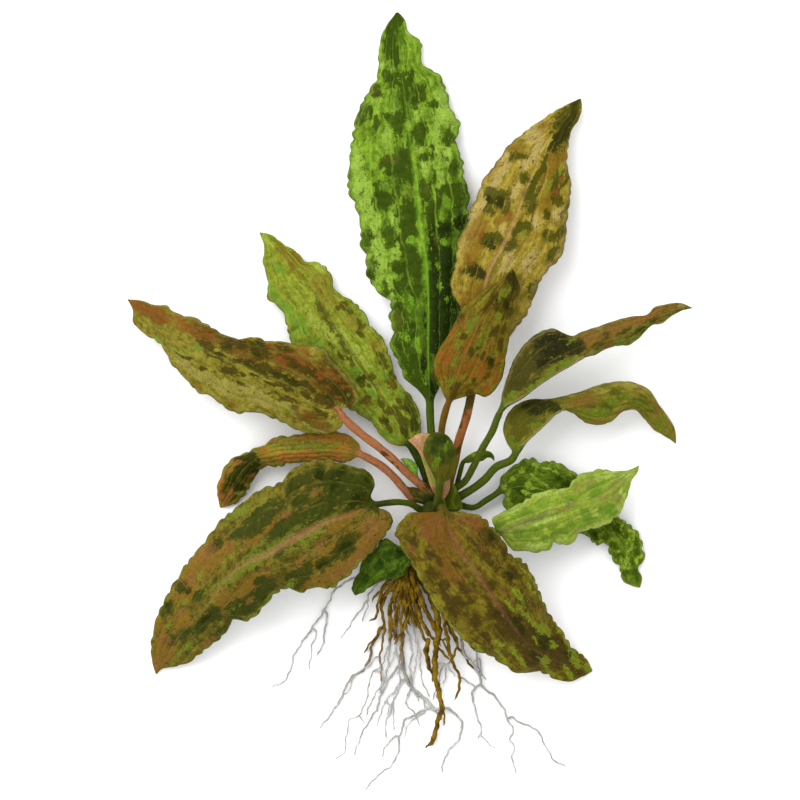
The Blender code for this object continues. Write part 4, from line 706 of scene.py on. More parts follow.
def leaf_piece(name, leaf, marks, lie, seed):
    """The leaf's skin, leafstalk and blade in one, with its marks and its own coordinates as attributes.

    Where stalk and blade meet, each ring is drawn toward the mean of its neighbours a few times.
    """
    blade, across, along, under = blade_rings(leaf, seed)
    stalk = stalk_rings(leaf)
    rings = np.concatenate([stalk, blade])
    bare = len(stalk)
    for _ in range(JOINT_PASSES):
        joint = rings[bare - 3 : bare + 4]
        rings[bare - 2 : bare + 3] = 0.5 * joint[1:-1] + 0.25 * (joint[:-2] + joint[2:])
    way = np.linalg.norm(np.gradient(rings.mean(axis=1), axis=0), axis=1).cumsum()[:, None]
    before = np.zeros((bare, rings.shape[1]))
    values = {
        "across": with_ends(np.concatenate([before + across[:1], across])),
        "along": with_ends(np.concatenate([before, along])),
        "way": with_ends(way + 0 * rings[:, :, 0]),
        "under": with_ends(np.concatenate([before, under])),
        "stalk": with_ends(np.concatenate([before + 1, np.clip(1 - along / leaf["stalk_fade"], 0, 1)])),
    }
    for kind, spotted in marks.items():
        values[kind] = with_ends(spots(rings, spotted, lie))
    return new_piece(name, [closed_skin(rings)], values)


# Leaf veins: the midrib, the side veins that run beside it from base to tip, the small cross veins
# that part them into cells, and streaks of colour that follow them.
VEINS, asked, given = group(
    "leaf veins",
    ["Across", "Way", "Side Veins", "Cell Length", "Midrib Width", "Streak Width", "Streak Length", "Seed",
     "Wobble"],
    ["Midrib", "Midrib Edge", "Side", "Side Shade", "Cross", "Streaks", "Fine", "Share"],
)


def line_mask(value, core, edge):
    """1 where the value is below core, fading to 0 at edge."""
    return ramp(VEINS, value, core, edge, 1.0, 0.0)


share = calc(VEINS, "ABSOLUTE", asked["Across"])
wander = calc(VEINS, "MULTIPLY_ADD", asked["Wobble"], 0.06, -0.03)
phase = calc(VEINS, "MULTIPLY", calc(VEINS, "ADD", share, wander), asked["Side Veins"])
off_side = calc(VEINS, "PINGPONG", phase, 0.5)
beside = calc(VEINS, "PINGPONG", calc(VEINS, "ADD", phase, 0.12), 0.5)
cell = calc(VEINS, "MULTIPLY", calc(VEINS, "FLOOR", phase), 0.35)
cross_phase = calc(VEINS, "ADD", calc(VEINS, "DIVIDE", asked["Way"], asked["Cell Length"]), cell)
cross_phase = calc(VEINS, "ADD", cross_phase, calc(VEINS, "MULTIPLY", asked["Wobble"], 0.5))
off_cross = calc(VEINS, "PINGPONG", cross_phase, 0.5)
beside_midrib = calc(VEINS, "MULTIPLY", asked["Midrib Width"], 1.3)
off_midrib = calc(VEINS, "ABSOLUTE", calc(VEINS, "SUBTRACT", asked["Across"], beside_midrib))
off_midrib = calc(VEINS, "DIVIDE", off_midrib, asked["Midrib Width"])
stretch = {
    0: calc(VEINS, "DIVIDE", asked["Across"], asked["Streak Width"]),
    1: calc(VEINS, "DIVIDE", asked["Way"], asked["Streak Length"]),
    2: asked["Seed"],
}
stretched = add(VEINS, "ShaderNodeCombineXYZ", stretch).outputs[0]
found = {
    "Side": line_mask(off_side, 0.02, 0.1),
    "Side Shade": line_mask(beside, 0.0, 0.13),
    "Cross": line_mask(off_cross, 0.0, 0.08),
    "Midrib": line_mask(share, 0.0, asked["Midrib Width"]),
    "Midrib Edge": line_mask(off_midrib, 0.2, 1.0),
    "Streaks": noise(VEINS, stretched, 1.0, 2.0, asked["Seed"]),
    "Fine": noise(VEINS, stretched, 2.7, 3.0, asked["Seed"]),
    "Share": share,
}
for label, value in found.items():
    VEINS.links.new(value, given[label])

# Leaf marks: a soft field of spots turned into marks with ragged ends drawn out along the leaf.
MARKS, asked, given = group(
    "leaf marks",
    ["Field", "Streaks", "Clouds", "Speckle", "Ragged", "Edge", "Level"],
    ["Marks"],
)
ragged = calc(MARKS, "MULTIPLY", calc(MARKS, "SUBTRACT", asked["Streaks"], 0.5), asked["Ragged"])
clouded = calc(MARKS, "MULTIPLY_ADD", asked["Clouds"], 1.6, -0.8)
speckled = calc(MARKS, "MULTIPLY_ADD", asked["Speckle"], 1.8, -0.9)
rough = calc(MARKS, "ADD", clouded, speckled)
total = calc(MARKS, "ADD", asked["Field"], calc(MARKS, "ADD", ragged, rough))
low = calc(MARKS, "SUBTRACT", asked["Level"], asked["Edge"])
high = calc(MARKS, "ADD", asked["Level"], asked["Edge"])
MARKS.links.new(ramp(MARKS, total, low, high), given["Marks"])

# How each kind of mark is laid on, from the lowest to the topmost: how ragged, how soft, from what
# level of its field, and how strongly.
# On the tall leaf the black marks, and on the two folded leaves the black and broad dark marks, are painted
# shade.
LAYERS = {
    "pale": (1.3, 0.26, 0.5, 0.6),
    "warm": (1.3, 0.3, 0.44, 0.8),
    "dark": (1.6, 0.17, 0.45, 0.9),
    "black": (1.6, 0.2, 0.42, 0.9),
    "rust": (2.0, 0.26, 0.56, 0.6),
    "green": (2.0, 0.15, 0.66, 0.8),
}
LEAF_SPECKLE_PER_M = 1500.0
BLOTCHES_PER_M = 560.0
STREAK_WIDTH = 0.09
STALK_GREEN_REACH = (0.004, 0.014)
LEAF_SHINE = 0.04
LEAF_GRAIN_HEIGHT = 0.22


def leaf_finish(name, colours, leaf, marked, seed, side, midrib, rim, mottle, blotch, midrib_end, soft):
    """A leaf's skin: streaks, laid over with its marks, veins, rim, midrib, stalk, crown and underside.

    side, midrib, rim, mottle and blotch say how strongly each is laid on, midrib_end how far along
    the blade the midrib fades out, and soft how soft the edges of the marks are.
    """
    made, tree, shader, place = new_material(name)
    grain = grained(tree, place, LEAF_SPECKLE_PER_M, CLOUDS_PER_M, seed)
    speckle = grain["Speckle"]
    clouds = grain["Clouds"]
    inputs = {
        "Across": attribute(tree, "across"), "Way": attribute(tree, "way"), "Side Veins": leaf["veins"],
        "Cell Length": leaf["cell_length"], "Midrib Width": leaf["midrib_width"],
        "Streak Width": STREAK_WIDTH, "Streak Length": leaf["streak_length"], "Seed": seed, "Wobble": clouds,
    }
    veins = place_group(tree, VEINS, inputs)
    fine = veins["Fine"]

    def times(first, second):
        return calc(tree, "MULTIPLY", first, second)

    def laid(kind, share, strength, below):
        return over(tree, times(share, strength), below, linear(colours[kind]))

    skin = linear(colours["deep"])
    skin = over(tree, ramp(tree, veins["Streaks"], 0.36, 0.64), skin, linear(colours["light"]))
    mottled = times(ramp(tree, fine, 0.52, 0.66), ramp(tree, clouds, 0.4, 0.56))
    skin = laid("dark", mottled, mottle, skin)
    blotches = noise(tree, place, BLOTCHES_PER_M, 6.0, seed + 0.5)
    skin = laid("dark", ramp(tree, blotches, 0.5, 0.58), blotch, skin)
    skin = laid("pale", ramp(tree, blotches, 0.38, 0.46, 1.0, 0.0), 0.7 * blotch, skin)
    stalk = over(tree, ramp(tree, fine, 0.4, 0.6), linear(colours["stalk"]), linear(colours["stalk_light"]))
    stalked = attribute(tree, "stalk")
    skin = over(tree, ramp(tree, stalked, 0.1, 0.9), skin, stalk)
    for kind, (ragged, edge, level, strength) in LAYERS.items():
        if kind in marked:
            inputs = {"Field": attribute(tree, kind), "Streaks": fine, "Clouds": clouds, "Speckle": speckle}
            inputs.update({"Ragged": ragged, "Edge": edge * soft, "Level": level})
            skin = laid(kind, place_group(tree, MARKS, inputs)["Marks"], strength, skin)
    bladed = calc(tree, "SUBTRACT", 1.0, stalked)
    margin = times(calc(tree, "MULTIPLY_ADD", clouds, 0.24, veins["Share"]), bladed)
    broken = ramp(tree, fine, 0.42, 0.6)
    skin = laid("pale", times(ramp(tree, margin, 0.96, 1.06), broken), 0.4, skin)
    sided = times(bladed, side)
    skin = laid("dark", times(veins["Side Shade"], broken), sided, skin)
    skin = laid("vein", times(veins["Side"], ramp(tree, veins["Streaks"], 0.4, 0.6)), sided, skin)
    rimmed = times(ramp(tree, margin, 1.08, 1.12), ramp(tree, clouds, 0.4, 0.55))
    skin = laid("rim", rimmed, rim, skin)
    fading = times(ramp(tree, attribute(tree, "along"), 0.3, midrib_end, midrib, 0.1), bladed)
    skin = laid("dark", times(veins["Midrib Edge"], 0.5), fading, skin)
    skin = laid("midrib", times(veins["Midrib"], ramp(tree, fine, 0.2, 0.5, 0.5, 1.0)), fading, skin)
    near_crown = ramp(tree, distance_to_crown(tree, place), *STALK_GREEN_REACH, 1.0, 0.0)
    near_crown = times(near_crown, stalked)
    near_crown = times(near_crown, ramp(tree, fine, 0.3, 0.6, 1.0, 0.5))
    skin = over(tree, near_crown, skin, linear(CROWN_GREEN))
    skin = laid("under", attribute(tree, "under"), 0.75, skin)
    value = ramp(tree, speckle, 0.3, 0.7, 0.8, 1.2)
    toned = {"Value": value, "Saturation": 0.99, "Color": skin}
    skin = add(tree, "ShaderNodeHueSaturation", toned).outputs[0]
    lines = calc(tree, "MAXIMUM", veins["Side"], times(veins["Cross"], 0.35))
    height = calc(tree, "MULTIPLY_ADD", lines, -0.7, times(speckle, 0.5))
    roughness = ramp(tree, speckle, 0.3, 0.7, 0.5, 0.7)
    lay_skin(tree, shader, skin, roughness, LEAF_SHINE, height, 0.5, LEAF_GRAIN_HEIGHT)
    return made


# What a leaf has where its own section doesn't say otherwise.
USUAL_SHAPE = {
    "veins": 3, "puff": 0.55, "nick_length": 3.6, "midrib_width": 0.05, "streak_length": 6,
    "stalk_fade": 0.05,
}
USUAL_AMOUNTS = {"side": 0.3, "midrib_end": 0.85, "soft": 1.0}
LEAVES = {}


def grow_leaf(node, shape, colours, marks, seed, lie, **amounts):
    """One leaf, leafstalk and blade, with its look. It stands for its own solid.

    The midrib and the rims left and right of it run from the blade's base to its tip. left_drop and
    right_drop are the heights of the rims over the midrib, spaced evenly along it. All marks are drawn
    out lie degrees from +X.
    """
    leaf = {**USUAL_SHAPE, "right_drop": shape["left_drop"], **shape}
    piece = leaf_piece(node + "_skin", leaf, marks, lie, seed)
    name = node.replace("_", " ") + " look"
    look = leaf_finish(name, colours, leaf, marks, float(seed), **{**USUAL_AMOUNTS, **amounts})
    dress(piece, look, node, node)
    LEAVES[node] = leaf


shape = dict(
    stalk_radius=1.2, stations=230, columns=61, cell_length=4.6, puff=0.7, ruffle=1.3, ruffle_length=10,
    nick=0.7, midrib_width=0.07,
    stalk=[(0, 4.4, 2.6), (-1.1, 9, 3.3), (-2.4, 18, 4.2), (-3, 26.4, 5)],
    rib=[(-3, 30, 5.4), (-3.6, 43.5, 6.4), (-3.6, 61.2, 7.2), (-4.3, 72.6, 7.4), (-6, 82.2, 7.4),
        (-6.8, 92.1, 7), (-7.8, 100.5, 6.4), (-9, 107.7, 5.6), (-10.2, 117.6, 4.4), (-11.5, 127.2, 2.8),
        (-12.3, 137.1, 1.2), (-12.9, 146.7, 0.15)],
    left=[(-3.9, 29.7), (-6.9, 33.3), (-10.5, 36.3), (-12.3, 40.8), (-15, 46.8), (-14.1, 49.8),
        (-15.3, 55.2), (-14.7, 58.8), (-18.6, 62.4), (-22.3, 68.7), (-22.2, 72.6), (-23.8, 76.5),
        (-23.8, 81), (-25.8, 89.1), (-27.6, 92.7), (-27.6, 96.9), (-27.1, 102.9), (-26.1, 110.1),
        (-24.9, 115.8), (-21.6, 122.4), (-18.6, 127.5), (-18.6, 131.7), (-17.1, 140.4)],
    right=[(-2.1, 29.7), (1.2, 36.6), (5.1, 42.6), (6.6, 48), (6.3, 54.6), (6.3, 60), (7.2, 66),
        (7.8, 72.6), (8.1, 78.6), (8.4, 86.7), (8.7, 92.1), (7.1, 97.2), (6.6, 102.9), (4.8, 106.8),
        (5.9, 113.4), (4.5, 115.2), (2.7, 120), (1.5, 123.9), (-0.1, 127.5), (-4.8, 130.5), (-5.7, 132.6),
        (-5.5, 137.1), (-9.8, 141), (-10.5, 144)],
    left_drop=[0, -1.6, -2.6, -2.6, -2, -0.8, 0],
)
colours = dict(
    light="#6d8d1e", deep="#536d11", pale="#84a03c", warm="#385009", rust="#464613", dark="#2a3a01",
    vein="#7d982d", midrib="#5f8819", rim="#3e530c", stalk="#304108", stalk_light="#495a11",
    under="#6f7e3f", black="#111b01", green="#5f8415",
)
marks = dict(
    pale=[(-84, 335, 22, 5), (-78, 310, 20, 8), (-72, 294, 13, 7), (-64, 264, 24, 5), (-59, 237, 22, 6),
        (-49, 214, 12, 4), (3, 388, 16, 8), (0, 405, 9, 6), (12, 377, 8, 6), (6, 345, 12, 8),
        (-4, 360, 20, 4), (-29, 469, 9, 4), (-56, 432, 10, 3), (-47, 438, 12, 2.5), (-44, 394, 8, 5),
        (-53, 362, 14, 4), (-19, 352, 5, 6), (-15, 333, 9, 5), (-53, 311, 8, 3), (-48, 284, 13, 3),
        (-42, 274, 13, 2.5), (-65, 400, 5, 6), (-24, 385, 6, 5), (-19, 254, 12, 2.5), (-45, 249, 12, 5),
        (0, 323, 14, 4)],
    warm=[(-12, 155, 56, 28), (5, 250, 60, 18), (-28, 220, 36, 14), (-47, 460, 26, 10), (-35, 405, 22, 12),
        (18, 300, 20, 10), (-40, 330, 22, 14), (-33, 275, 26, 9), (-57, 302, 18, 7)],
    dark=[(-45, 480, 11, 8), (-51, 469, 12, 5), (-50, 454, 15, 6), (-45, 446, 10, 5), (-53, 425, 7, 5),
        (-46, 419, 9, 7), (-36, 414, 13, 6), (-29, 420, 10, 3), (-19, 408, 9, 6), (-25, 396, 6, 4),
        (-8, 396, 5, 6), (-65, 410, 6, 8), (-78, 388, 8, 7), (-79, 379, 4, 6), (-43, 377, 11, 8),
        (-51, 382, 6, 4), (-64, 376, 10, 3), (-69, 389, 8, 2.5), (-20, 367, 12, 7), (9, 362, 8, 7),
        (-35, 394, 16, 3), (-31, 350, 24, 3), (-38, 340, 10, 5), (-51, 334, 12, 9), (-38, 328, 13, 8),
        (-29, 323, 9, 4), (-15, 342, 4, 5), (-8, 350, 10, 2), (-7, 324, 12, 2), (14, 332, 9, 5),
        (-63, 310, 14, 4), (-56, 299, 11, 9), (-44, 304, 7, 5), (-16, 310, 12, 6), (17, 308, 9, 13),
        (6, 310, 7, 8), (-33, 291, 10, 9), (-26, 284, 9, 6), (-35, 271, 12, 6), (-27, 267, 9, 7),
        (-10, 286, 14, 6), (-3, 295, 14, 3.5), (16, 288, 10, 8), (-51, 263, 12, 7), (-74, 260, 10, 6),
        (-37, 255, 10, 4), (-30, 247, 8, 8), (-70, 231, 12, 6), (-43, 232, 6, 7), (-32, 230, 10, 6),
        (-22, 229, 12, 4), (-40, 213, 8, 7), (-25, 210, 9, 6), (-55, 210, 8, 4), (-40, 182, 16, 8),
        (-45, 164, 10, 6), (-28, 169, 10, 5), (-38, 145, 16, 9), (-28, 134, 14, 8), (-24, 119, 14, 8),
        (-14, 109, 10, 10)],
    # The black marks, along and right of the midrib, are painted shade.
    black=[(2, 270, 9, 10), (-7, 250, 22, 5), (5, 238, 24, 8), (-6, 208, 30, 7), (6, 203, 28, 8),
        (-9, 170, 26, 6), (1, 173, 22, 9), (11, 182, 14, 8), (-16, 138, 14, 3), (0, 144, 16, 7),
        (20, 278, 7, 6), (-8, 115, 12, 4)],
    rust=[(-14, 312, 7, 3), (-3, 262, 7, 3), (-45, 339, 5, 4), (-53, 342, 5, 4), (-15, 150, 12, 2.5),
        (-30, 310, 8, 3), (-43, 175, 14, 5), (-6, 125, 8, 3), (-64, 408, 5, 5)],
    green=[(7, 297, 6, 6), (2, 284, 6, 3), (5, 257, 4, 5), (-2, 234, 6, 3), (-29, 259, 5, 4),
        (0, 214, 4, 2.5), (-22, 155, 8, 4), (-29, 199, 9, 3), (-47, 148, 5, 4), (-32, 162, 5, 3),
        (6, 200, 4, 3)],
)
grow_leaf(
    "tall_leaf", shape, colours, marks, seed=1, lie=90, side=0.35, midrib=0.75, rim=0.5, mottle=0.25,
    blotch=0.35,
)

# Gold leaf
# A tan leaf that leans right, behind the small brown one, with a rosy midrib, dark mottled bands
# and an almost black green tip. Its blade is thin and soft, and a red-brown stalk holds it in the
# crown.
shape = dict(
    stalk_radius=1.3, stations=200, columns=57, cell_length=4.4, ruffle=1.2, ruffle_length=11, nick=0.4,
    midrib_width=0.07,
    stalk=[(2.2, 3.8, 5.3), (3.9, 9.6, 6.2), (5.7, 18, 7.4), (7.8, 24.6, 8.8), (9.3, 31.5, 10)],
    rib=[(9.9, 36, 10.8), (11.1, 49.5, 12), (12.9, 63, 12.8), (15.3, 70.5, 13), (18.9, 76.5, 12.8),
        (21.3, 81.6, 12.4), (23.1, 86.4, 11.8), (25.1, 91.8, 11), (28.5, 99.6, 9.4), (30.9, 106.2, 7.8),
        (35.4, 111.6, 5.8), (39, 115.8, 4), (42.3, 120.6, 1.8)],
    left=[(9, 35.7), (7.5, 45), (6.3, 57.3), (3.3, 63), (4.8, 72), (5.4, 78), (7.8, 81.9), (9.3, 87.6),
        (11.1, 91.2), (12.9, 96), (16.2, 100.2), (18.3, 103.5), (20.7, 106.5), (24, 109.3), (31.2, 114.6),
        (36, 117.6)],
    right=[(10.8, 35.7), (15, 40.8), (18.9, 46.5), (23.1, 51.9), (25.5, 54.9), (28.3, 61.2), (30.6, 66.6),
        (33.3, 69.9), (35.7, 72), (37.5, 77.4), (38.1, 84), (39, 90.6), (39.3, 94.8), (38.1, 100.8),
        (38.5, 106.2), (39.3, 110.4), (41.4, 113.7), (42.6, 117.9)],
    left_drop=[0, -1.6, -2.8, -3, -2.4, -1, 0],
)
colours = dict(
    light="#8c7a28", deep="#726315", pale="#9f8e55", warm="#6a4f09", rust="#724315", dark="#383902",
    vein="#8f7d3c", midrib="#926c46", rim="#554d0e", stalk="#81491e", stalk_light="#986235",
    under="#887746", black="#262602", green="#6a6c1e",
)
marks = dict(
    pale=[(93, 365, 9, 10), (65, 335, 13, 5), (44, 300, 32, 6), (30, 265, 20, 5), (76, 310, 12, 4),
        (85, 335, 8, 5), (67, 238, 14, 6), (88, 238, 14, 6), (95, 278, 8, 6), (118, 285, 8, 6),
        (58, 320, 8, 4), (98, 350, 14, 4), (63, 270, 8, 3)],
    warm=[(116, 340, 14, 8), (60, 280, 8, 4), (108, 328, 12, 4), (35, 268, 20, 8), (68, 282, 7, 4),
        (30, 200, 30, 10), (40, 155, 30, 12), (108, 300, 18, 7), (35, 250, 24, 7), (105, 390, 10, 3),
        (65, 352, 8, 3), (52, 328, 10, 3), (76, 350, 6, 8)],
    dark=[(28, 98, 14, 6), (19, 72, 8, 1.2), (15, 45, 14, 3), (127, 378, 20, 12), (135, 394, 12, 6),
        (121, 360, 12, 9), (79, 344, 3.5, 9), (73, 345, 6, 3), (85, 322, 6, 8), (103, 337, 8, 4),
        (97, 322, 14, 4), (90, 304, 12, 6), (115, 318, 14, 6), (116, 300, 6, 7), (58, 301, 10, 11),
        (50, 308, 6, 6), (48, 290, 6, 5), (92, 295, 9, 5), (83, 274, 6, 9), (76, 268, 5, 5),
        (48, 260, 8, 10), (70, 254, 8, 5), (34, 229, 7, 12), (108, 264, 7, 6), (121, 268, 12, 4),
        (113, 247, 9, 5), (93, 211, 9, 5), (127, 322, 24, 2.5), (129, 295, 18, 2.5), (65, 290, 6, 5),
        (57, 262, 5, 5), (106, 285, 4, 4)],
    black=[(121, 365, 13, 7), (132, 388, 12, 3), (113, 354, 7, 5), (127, 374, 10, 5), (60, 297, 5, 5),
        (50, 300, 4, 5), (36, 228, 5, 9), (50, 255, 5, 5), (88, 320, 4, 4)],
    rust=[(67, 282, 7, 3), (40, 265, 7, 4), (105, 375, 6, 2), (50, 325, 7, 2), (120, 320, 4, 3),
        (114, 306, 5, 3), (95, 264, 6, 3), (30, 238, 5, 4)],
    green=[(108, 312, 16, 2.5), (75, 292, 4, 3), (120, 330, 8, 2), (62, 316, 6, 2), (83, 264, 4, 4)],
)
grow_leaf(
    "gold_leaf", shape, colours, marks, seed=2, lie=62, side=0.35, midrib=0.85, rim=0.6, mottle=0.22,
    blotch=0.3,
)

# Upper left leaf
# A yellow-green leaf to the upper left, with brown-green blotches towards its base and a darker
# right margin. It is thin and soft, and its stalk leaves the crown under those of the brown ones.
shape = dict(
    stalk_radius=1.2, stations=190, columns=53, cell_length=4.2, ruffle=0.7, ruffle_length=10, nick=0.5,
    stalk=[(-3.3, 3.9, 2.8), (-5.1, 9.3, 3.3), (-7.5, 14.1, 4)],
    rib=[(-9.3, 17.1, 4.6), (-13.3, 24.6, 5.4), (-21.7, 36.9, 6.2), (-27.6, 45.6, 6.4), (-32.4, 53.4, 6.2),
        (-37, 61, 5.2), (-42.9, 68.7, 3.4), (-50.4, 77.1, 1.2), (-54.3, 80.4, 0.15)],
    left=[(-9.9, 16.5), (-12.3, 16.2), (-17.7, 19.2), (-20.1, 22.8), (-27, 27.3), (-35.1, 33.6),
        (-41.1, 40.8), (-44.4, 46.8), (-45.4, 49.5), (-46.2, 53.4), (-48.1, 57.6), (-51.6, 60.3),
        (-51.6, 65.7), (-53.1, 70.5), (-52.8, 76.3)],
    right=[(-8.7, 17.7), (-6.3, 18.9), (-5.8, 21), (-6.4, 26.7), (-8.7, 31.2), (-12.3, 35.1), (-14.1, 39.3),
        (-15.3, 43.8), (-17.4, 48.9), (-20.7, 52.2), (-22.5, 55.8), (-25.5, 59.1), (-28.5, 61),
        (-31.8, 63.6), (-32.2, 66), (-33.9, 69.5), (-37.5, 71.5), (-40.5, 71.7), (-42.9, 74.4),
        (-46.5, 76.5), (-51.3, 79.8)],
    left_drop=[0, -1.2, -2.4, -2.6, -2, -0.8, 0],
    right_drop=[0, -0.8, -2.4, -2.6, -2, -0.8, 0],
)
colours = dict(
    light="#7c8423", deep="#657115", pale="#889639", warm="#726a1e", rust="#674c09", dark="#3e3c09",
    vein="#7e8d35", midrib="#4b4710", rim="#6f6a1e", stalk="#1d2c06", stalk_light="#30430b",
    under="#6f773f", black="#2d3406", green="#56791e",
)
marks = dict(
    pale=[(-100, 165, 16, 5), (-87, 150, 14, 5), (-74, 137, 10, 4), (-68, 113, 7, 4), (-110, 164, 14, 4),
        (-127, 179, 10, 4), (-119, 232, 6, 7), (-71, 182, 8, 5), (-172, 260, 8, 3), (-55, 155, 6, 3)],
    warm=[(-154, 245, 14, 5), (-110, 200, 14, 8), (-120, 219, 10, 8), (-90, 178, 10, 6), (-62, 154, 8, 6),
        (-140, 238, 10, 5)],
    dark=[(-117, 189, 11, 3), (-112, 177, 10, 3), (-99, 159, 10, 2), (-92, 149, 8, 2), (-96, 195, 4, 5),
        (-104, 191, 3, 3), (-90, 189, 4, 3), (-80, 175, 6, 3), (-78, 165, 5, 3), (-108, 154, 5, 3),
        (-100, 145, 5, 2), (-90, 138, 6, 3), (-83, 128, 5, 3), (-78, 119, 6, 5), (-70, 123, 4, 4),
        (-58, 140, 6, 3), (-54, 134, 4, 3), (-62, 145, 4, 3), (-50, 117, 8, 5), (-46, 125, 6, 3),
        (-74, 100, 4, 5), (-60, 98, 7, 3), (-51, 88, 6, 4), (-57, 80, 6, 5), (-51, 72, 5, 3),
        (-43, 88, 10, 3), (-32, 100, 8, 5), (-28, 88, 10, 6), (-26, 75, 8, 5), (-36, 79, 8, 4),
        (-35, 69, 6, 4), (-38, 95, 8, 3), (-70, 115, 3, 3)],
    black=[(-49, 118, 5, 3), (-30, 90, 8, 4), (-26, 76, 6, 4), (-54, 79, 4, 3), (-77, 120, 3, 3),
        (-36, 68, 5, 3)],
    rust=[(-140, 225, 6, 4), (-148, 232, 8, 3), (-120, 210, 8, 2), (-95, 195, 3, 3), (-50, 118, 5, 3),
        (-78, 172, 4, 2), (-74, 98, 4, 3), (-65, 155, 3, 2), (-159, 253, 10, 3), (-144, 244, 8, 3),
        (-57, 82, 4, 2), (-115, 184, 7, 2)],
    green=[(-170, 210, 12, 6), (-155, 189, 14, 8), (-140, 174, 14, 8), (-161, 230, 10, 5), (-84, 130, 6, 5),
        (-56, 125, 8, 4), (-68, 107, 8, 4), (-40, 105, 6, 2.5), (-65, 87, 6, 3), (-55, 67, 5, 3),
        (-46, 62, 6, 3), (-51, 104, 12, 1.5), (-63, 132, 6, 2), (-149, 162, 5, 8), (-122, 155, 8, 6)],
)
grow_leaf(
    "upper_left_leaf", shape, colours, marks, seed=3, lie=126, side=0.35, midrib=0.85, rim=0.5, mottle=0.4,
    blotch=0.35, midrib_end=1.3,
)

# Left brown leaf
# The long leaf that reaches furthest left, its upper half dark rusty brown and its lower half
# khaki with brown spots. The blade is thin, and a long reddish leafstalk holds it in the crown.
shape = dict(
    stalk_radius=1.25, stations=190, columns=53, cell_length=4, ruffle=1.1, ruffle_length=10, nick=0.5,
    stalk=[(-3.9, 3, 6.7), (-9.2, 7.5, 8.4), (-13.2, 11.4, 9.6), (-18.4, 15.9, 10.9), (-24.3, 20.4, 12.1),
        (-29.7, 25.5, 13.2)],
    rib=[(-31.2, 27.3, 13.6), (-34.5, 29.4, 14), (-38.4, 31.8, 14.6), (-46.8, 35.1, 15.8),
        (-54.3, 38.1, 16), (-61.8, 41.7, 15.4), (-69.1, 44.1, 14), (-79.2, 49.2, 10.8), (-86.7, 53.7, 6.8),
        (-93.9, 60.3, 2.6)],
    left=[(-30.9, 26.1), (-29.4, 24.6), (-29.4, 22.2), (-32.4, 20.2), (-36.9, 19.8), (-42.9, 21),
        (-46.8, 23.1), (-51.8, 25.2), (-57.3, 26.4), (-60.3, 25.9), (-64.2, 27.6), (-68.1, 30.6),
        (-72.1, 32.1), (-76.5, 36.6), (-80.7, 41.1), (-83.7, 46.5), (-88, 49.5), (-92.1, 53.5), (-92.1, 57)],
    right=[(-30, 27.9), (-26.4, 27.9), (-24.3, 29.4), (-24.3, 31.2), (-27, 36.1), (-30.3, 40.2),
        (-35.4, 45.6), (-42.9, 46.5), (-48.3, 47.7), (-51.8, 47.7), (-55.2, 48.9), (-60.3, 48.3),
        (-64.2, 49.4), (-68.1, 51.6), (-72.6, 54.3), (-79.8, 56.5), (-81.6, 58.2), (-85.5, 58.5),
        (-89.1, 59.7)],
    left_drop=[0, -2, -3.6, -4, -3.4, -1.6, 0],
)
colours = dict(
    light="#797125", deep="#635d11", pale="#887f3c", warm="#513509", rust="#713e11", dark="#372d04",
    vein="#716a25", midrib="#49470e", rim="#6c6c22", stalk="#814928", stalk_light="#9d6a43",
    under="#777146", black="#282a02", green="#637425",
)
marks = dict(
    pale=[(-215, 114, 22, 7), (-184, 104, 22, 8), (-240, 125, 16, 5), (-260, 139, 12, 4), (-155, 94, 14, 4)],
    warm=[(-128, 79, 26, 8), (-235, 168, 20, 8), (-198, 151, 26, 11), (-153, 139, 30, 14),
        (-110, 118, 24, 17), (-290, 188, 18, 8)],
    dark=[(-56, 45, 4, 1.5), (-50, 39, 4, 1.5), (-44, 32, 4, 1.5), (-38, 24, 4, 2), (-31, 13, 6, 3),
        (-234, 155, 9, 6), (-213, 154, 6, 6), (-180, 150, 11, 9), (-157, 152, 8, 5), (-102, 114, 14, 9),
        (-94, 102, 11, 7), (-115, 100, 10, 5), (-118, 122, 10, 3), (-128, 128, 10, 3), (-141, 134, 8, 3),
        (-109, 139, 8, 4), (-104, 128, 6, 4), (-237, 132, 6, 2), (-211, 130, 9, 4.5), (-197, 126, 4, 2),
        (-186, 125, 5, 2), (-197, 117, 6, 2), (-168, 116, 10, 2), (-152, 112, 12, 2.5), (-156, 102, 11, 3),
        (-134, 106, 7, 3), (-170, 106, 3, 1.5), (-200, 158, 8, 4), (-225, 143, 12, 2), (-254, 143, 12, 1.5),
        (-120, 88, 8, 3), (-205, 159, 15, 6), (-178, 149, 13, 6), (-150, 139, 12, 6), (-128, 129, 13, 7),
        (-107, 114, 13, 9), (-96, 101, 9, 7), (-170, 130, 20, 3), (-140, 117, 18, 3)],
    black=[(-218, 144, 8, 2), (-204, 139, 9, 2.5), (-190, 135, 9, 2.5), (-177, 127, 10, 2.5),
        (-159, 123, 12, 3), (-147, 118, 8, 3), (-185, 147, 5, 4), (-212, 152, 3, 3), (-178, 155, 4, 3),
        (-98, 108, 8, 4), (-92, 101, 5, 4), (-111, 104, 5, 3)],
    rust=[(-300, 192, 12, 7), (-280, 188, 12, 5), (-275, 182, 4, 6), (-255, 173, 6, 3), (-260, 182, 6, 4),
        (-157, 139, 8, 4), (-148, 145, 8, 3), (-139, 138, 5, 3), (-127, 134, 6, 3), (-119, 126, 5, 4),
        (-105, 120, 5, 2.5), (-110, 128, 6, 3), (-110, 150, 8, 3), (-135, 149, 8, 3), (-205, 95, 6, 3),
        (-240, 112, 5, 2), (-112, 112, 4, 2), (-170, 155, 5, 2), (-95, 114, 4, 2), (-102, 104, 4, 2),
        (-293, 190, 14, 7), (-274, 182, 12, 6), (-254, 172, 12, 5), (-235, 165, 12, 4)],
    green=[(-252, 146, 10, 2), (-244, 152, 8, 3), (-282, 156, 6, 6), (-129, 73, 20, 1.5), (-110, 78, 5, 3),
        (-150, 89, 12, 2.5), (-195, 91, 14, 1.5), (-265, 150, 8, 2)],
)
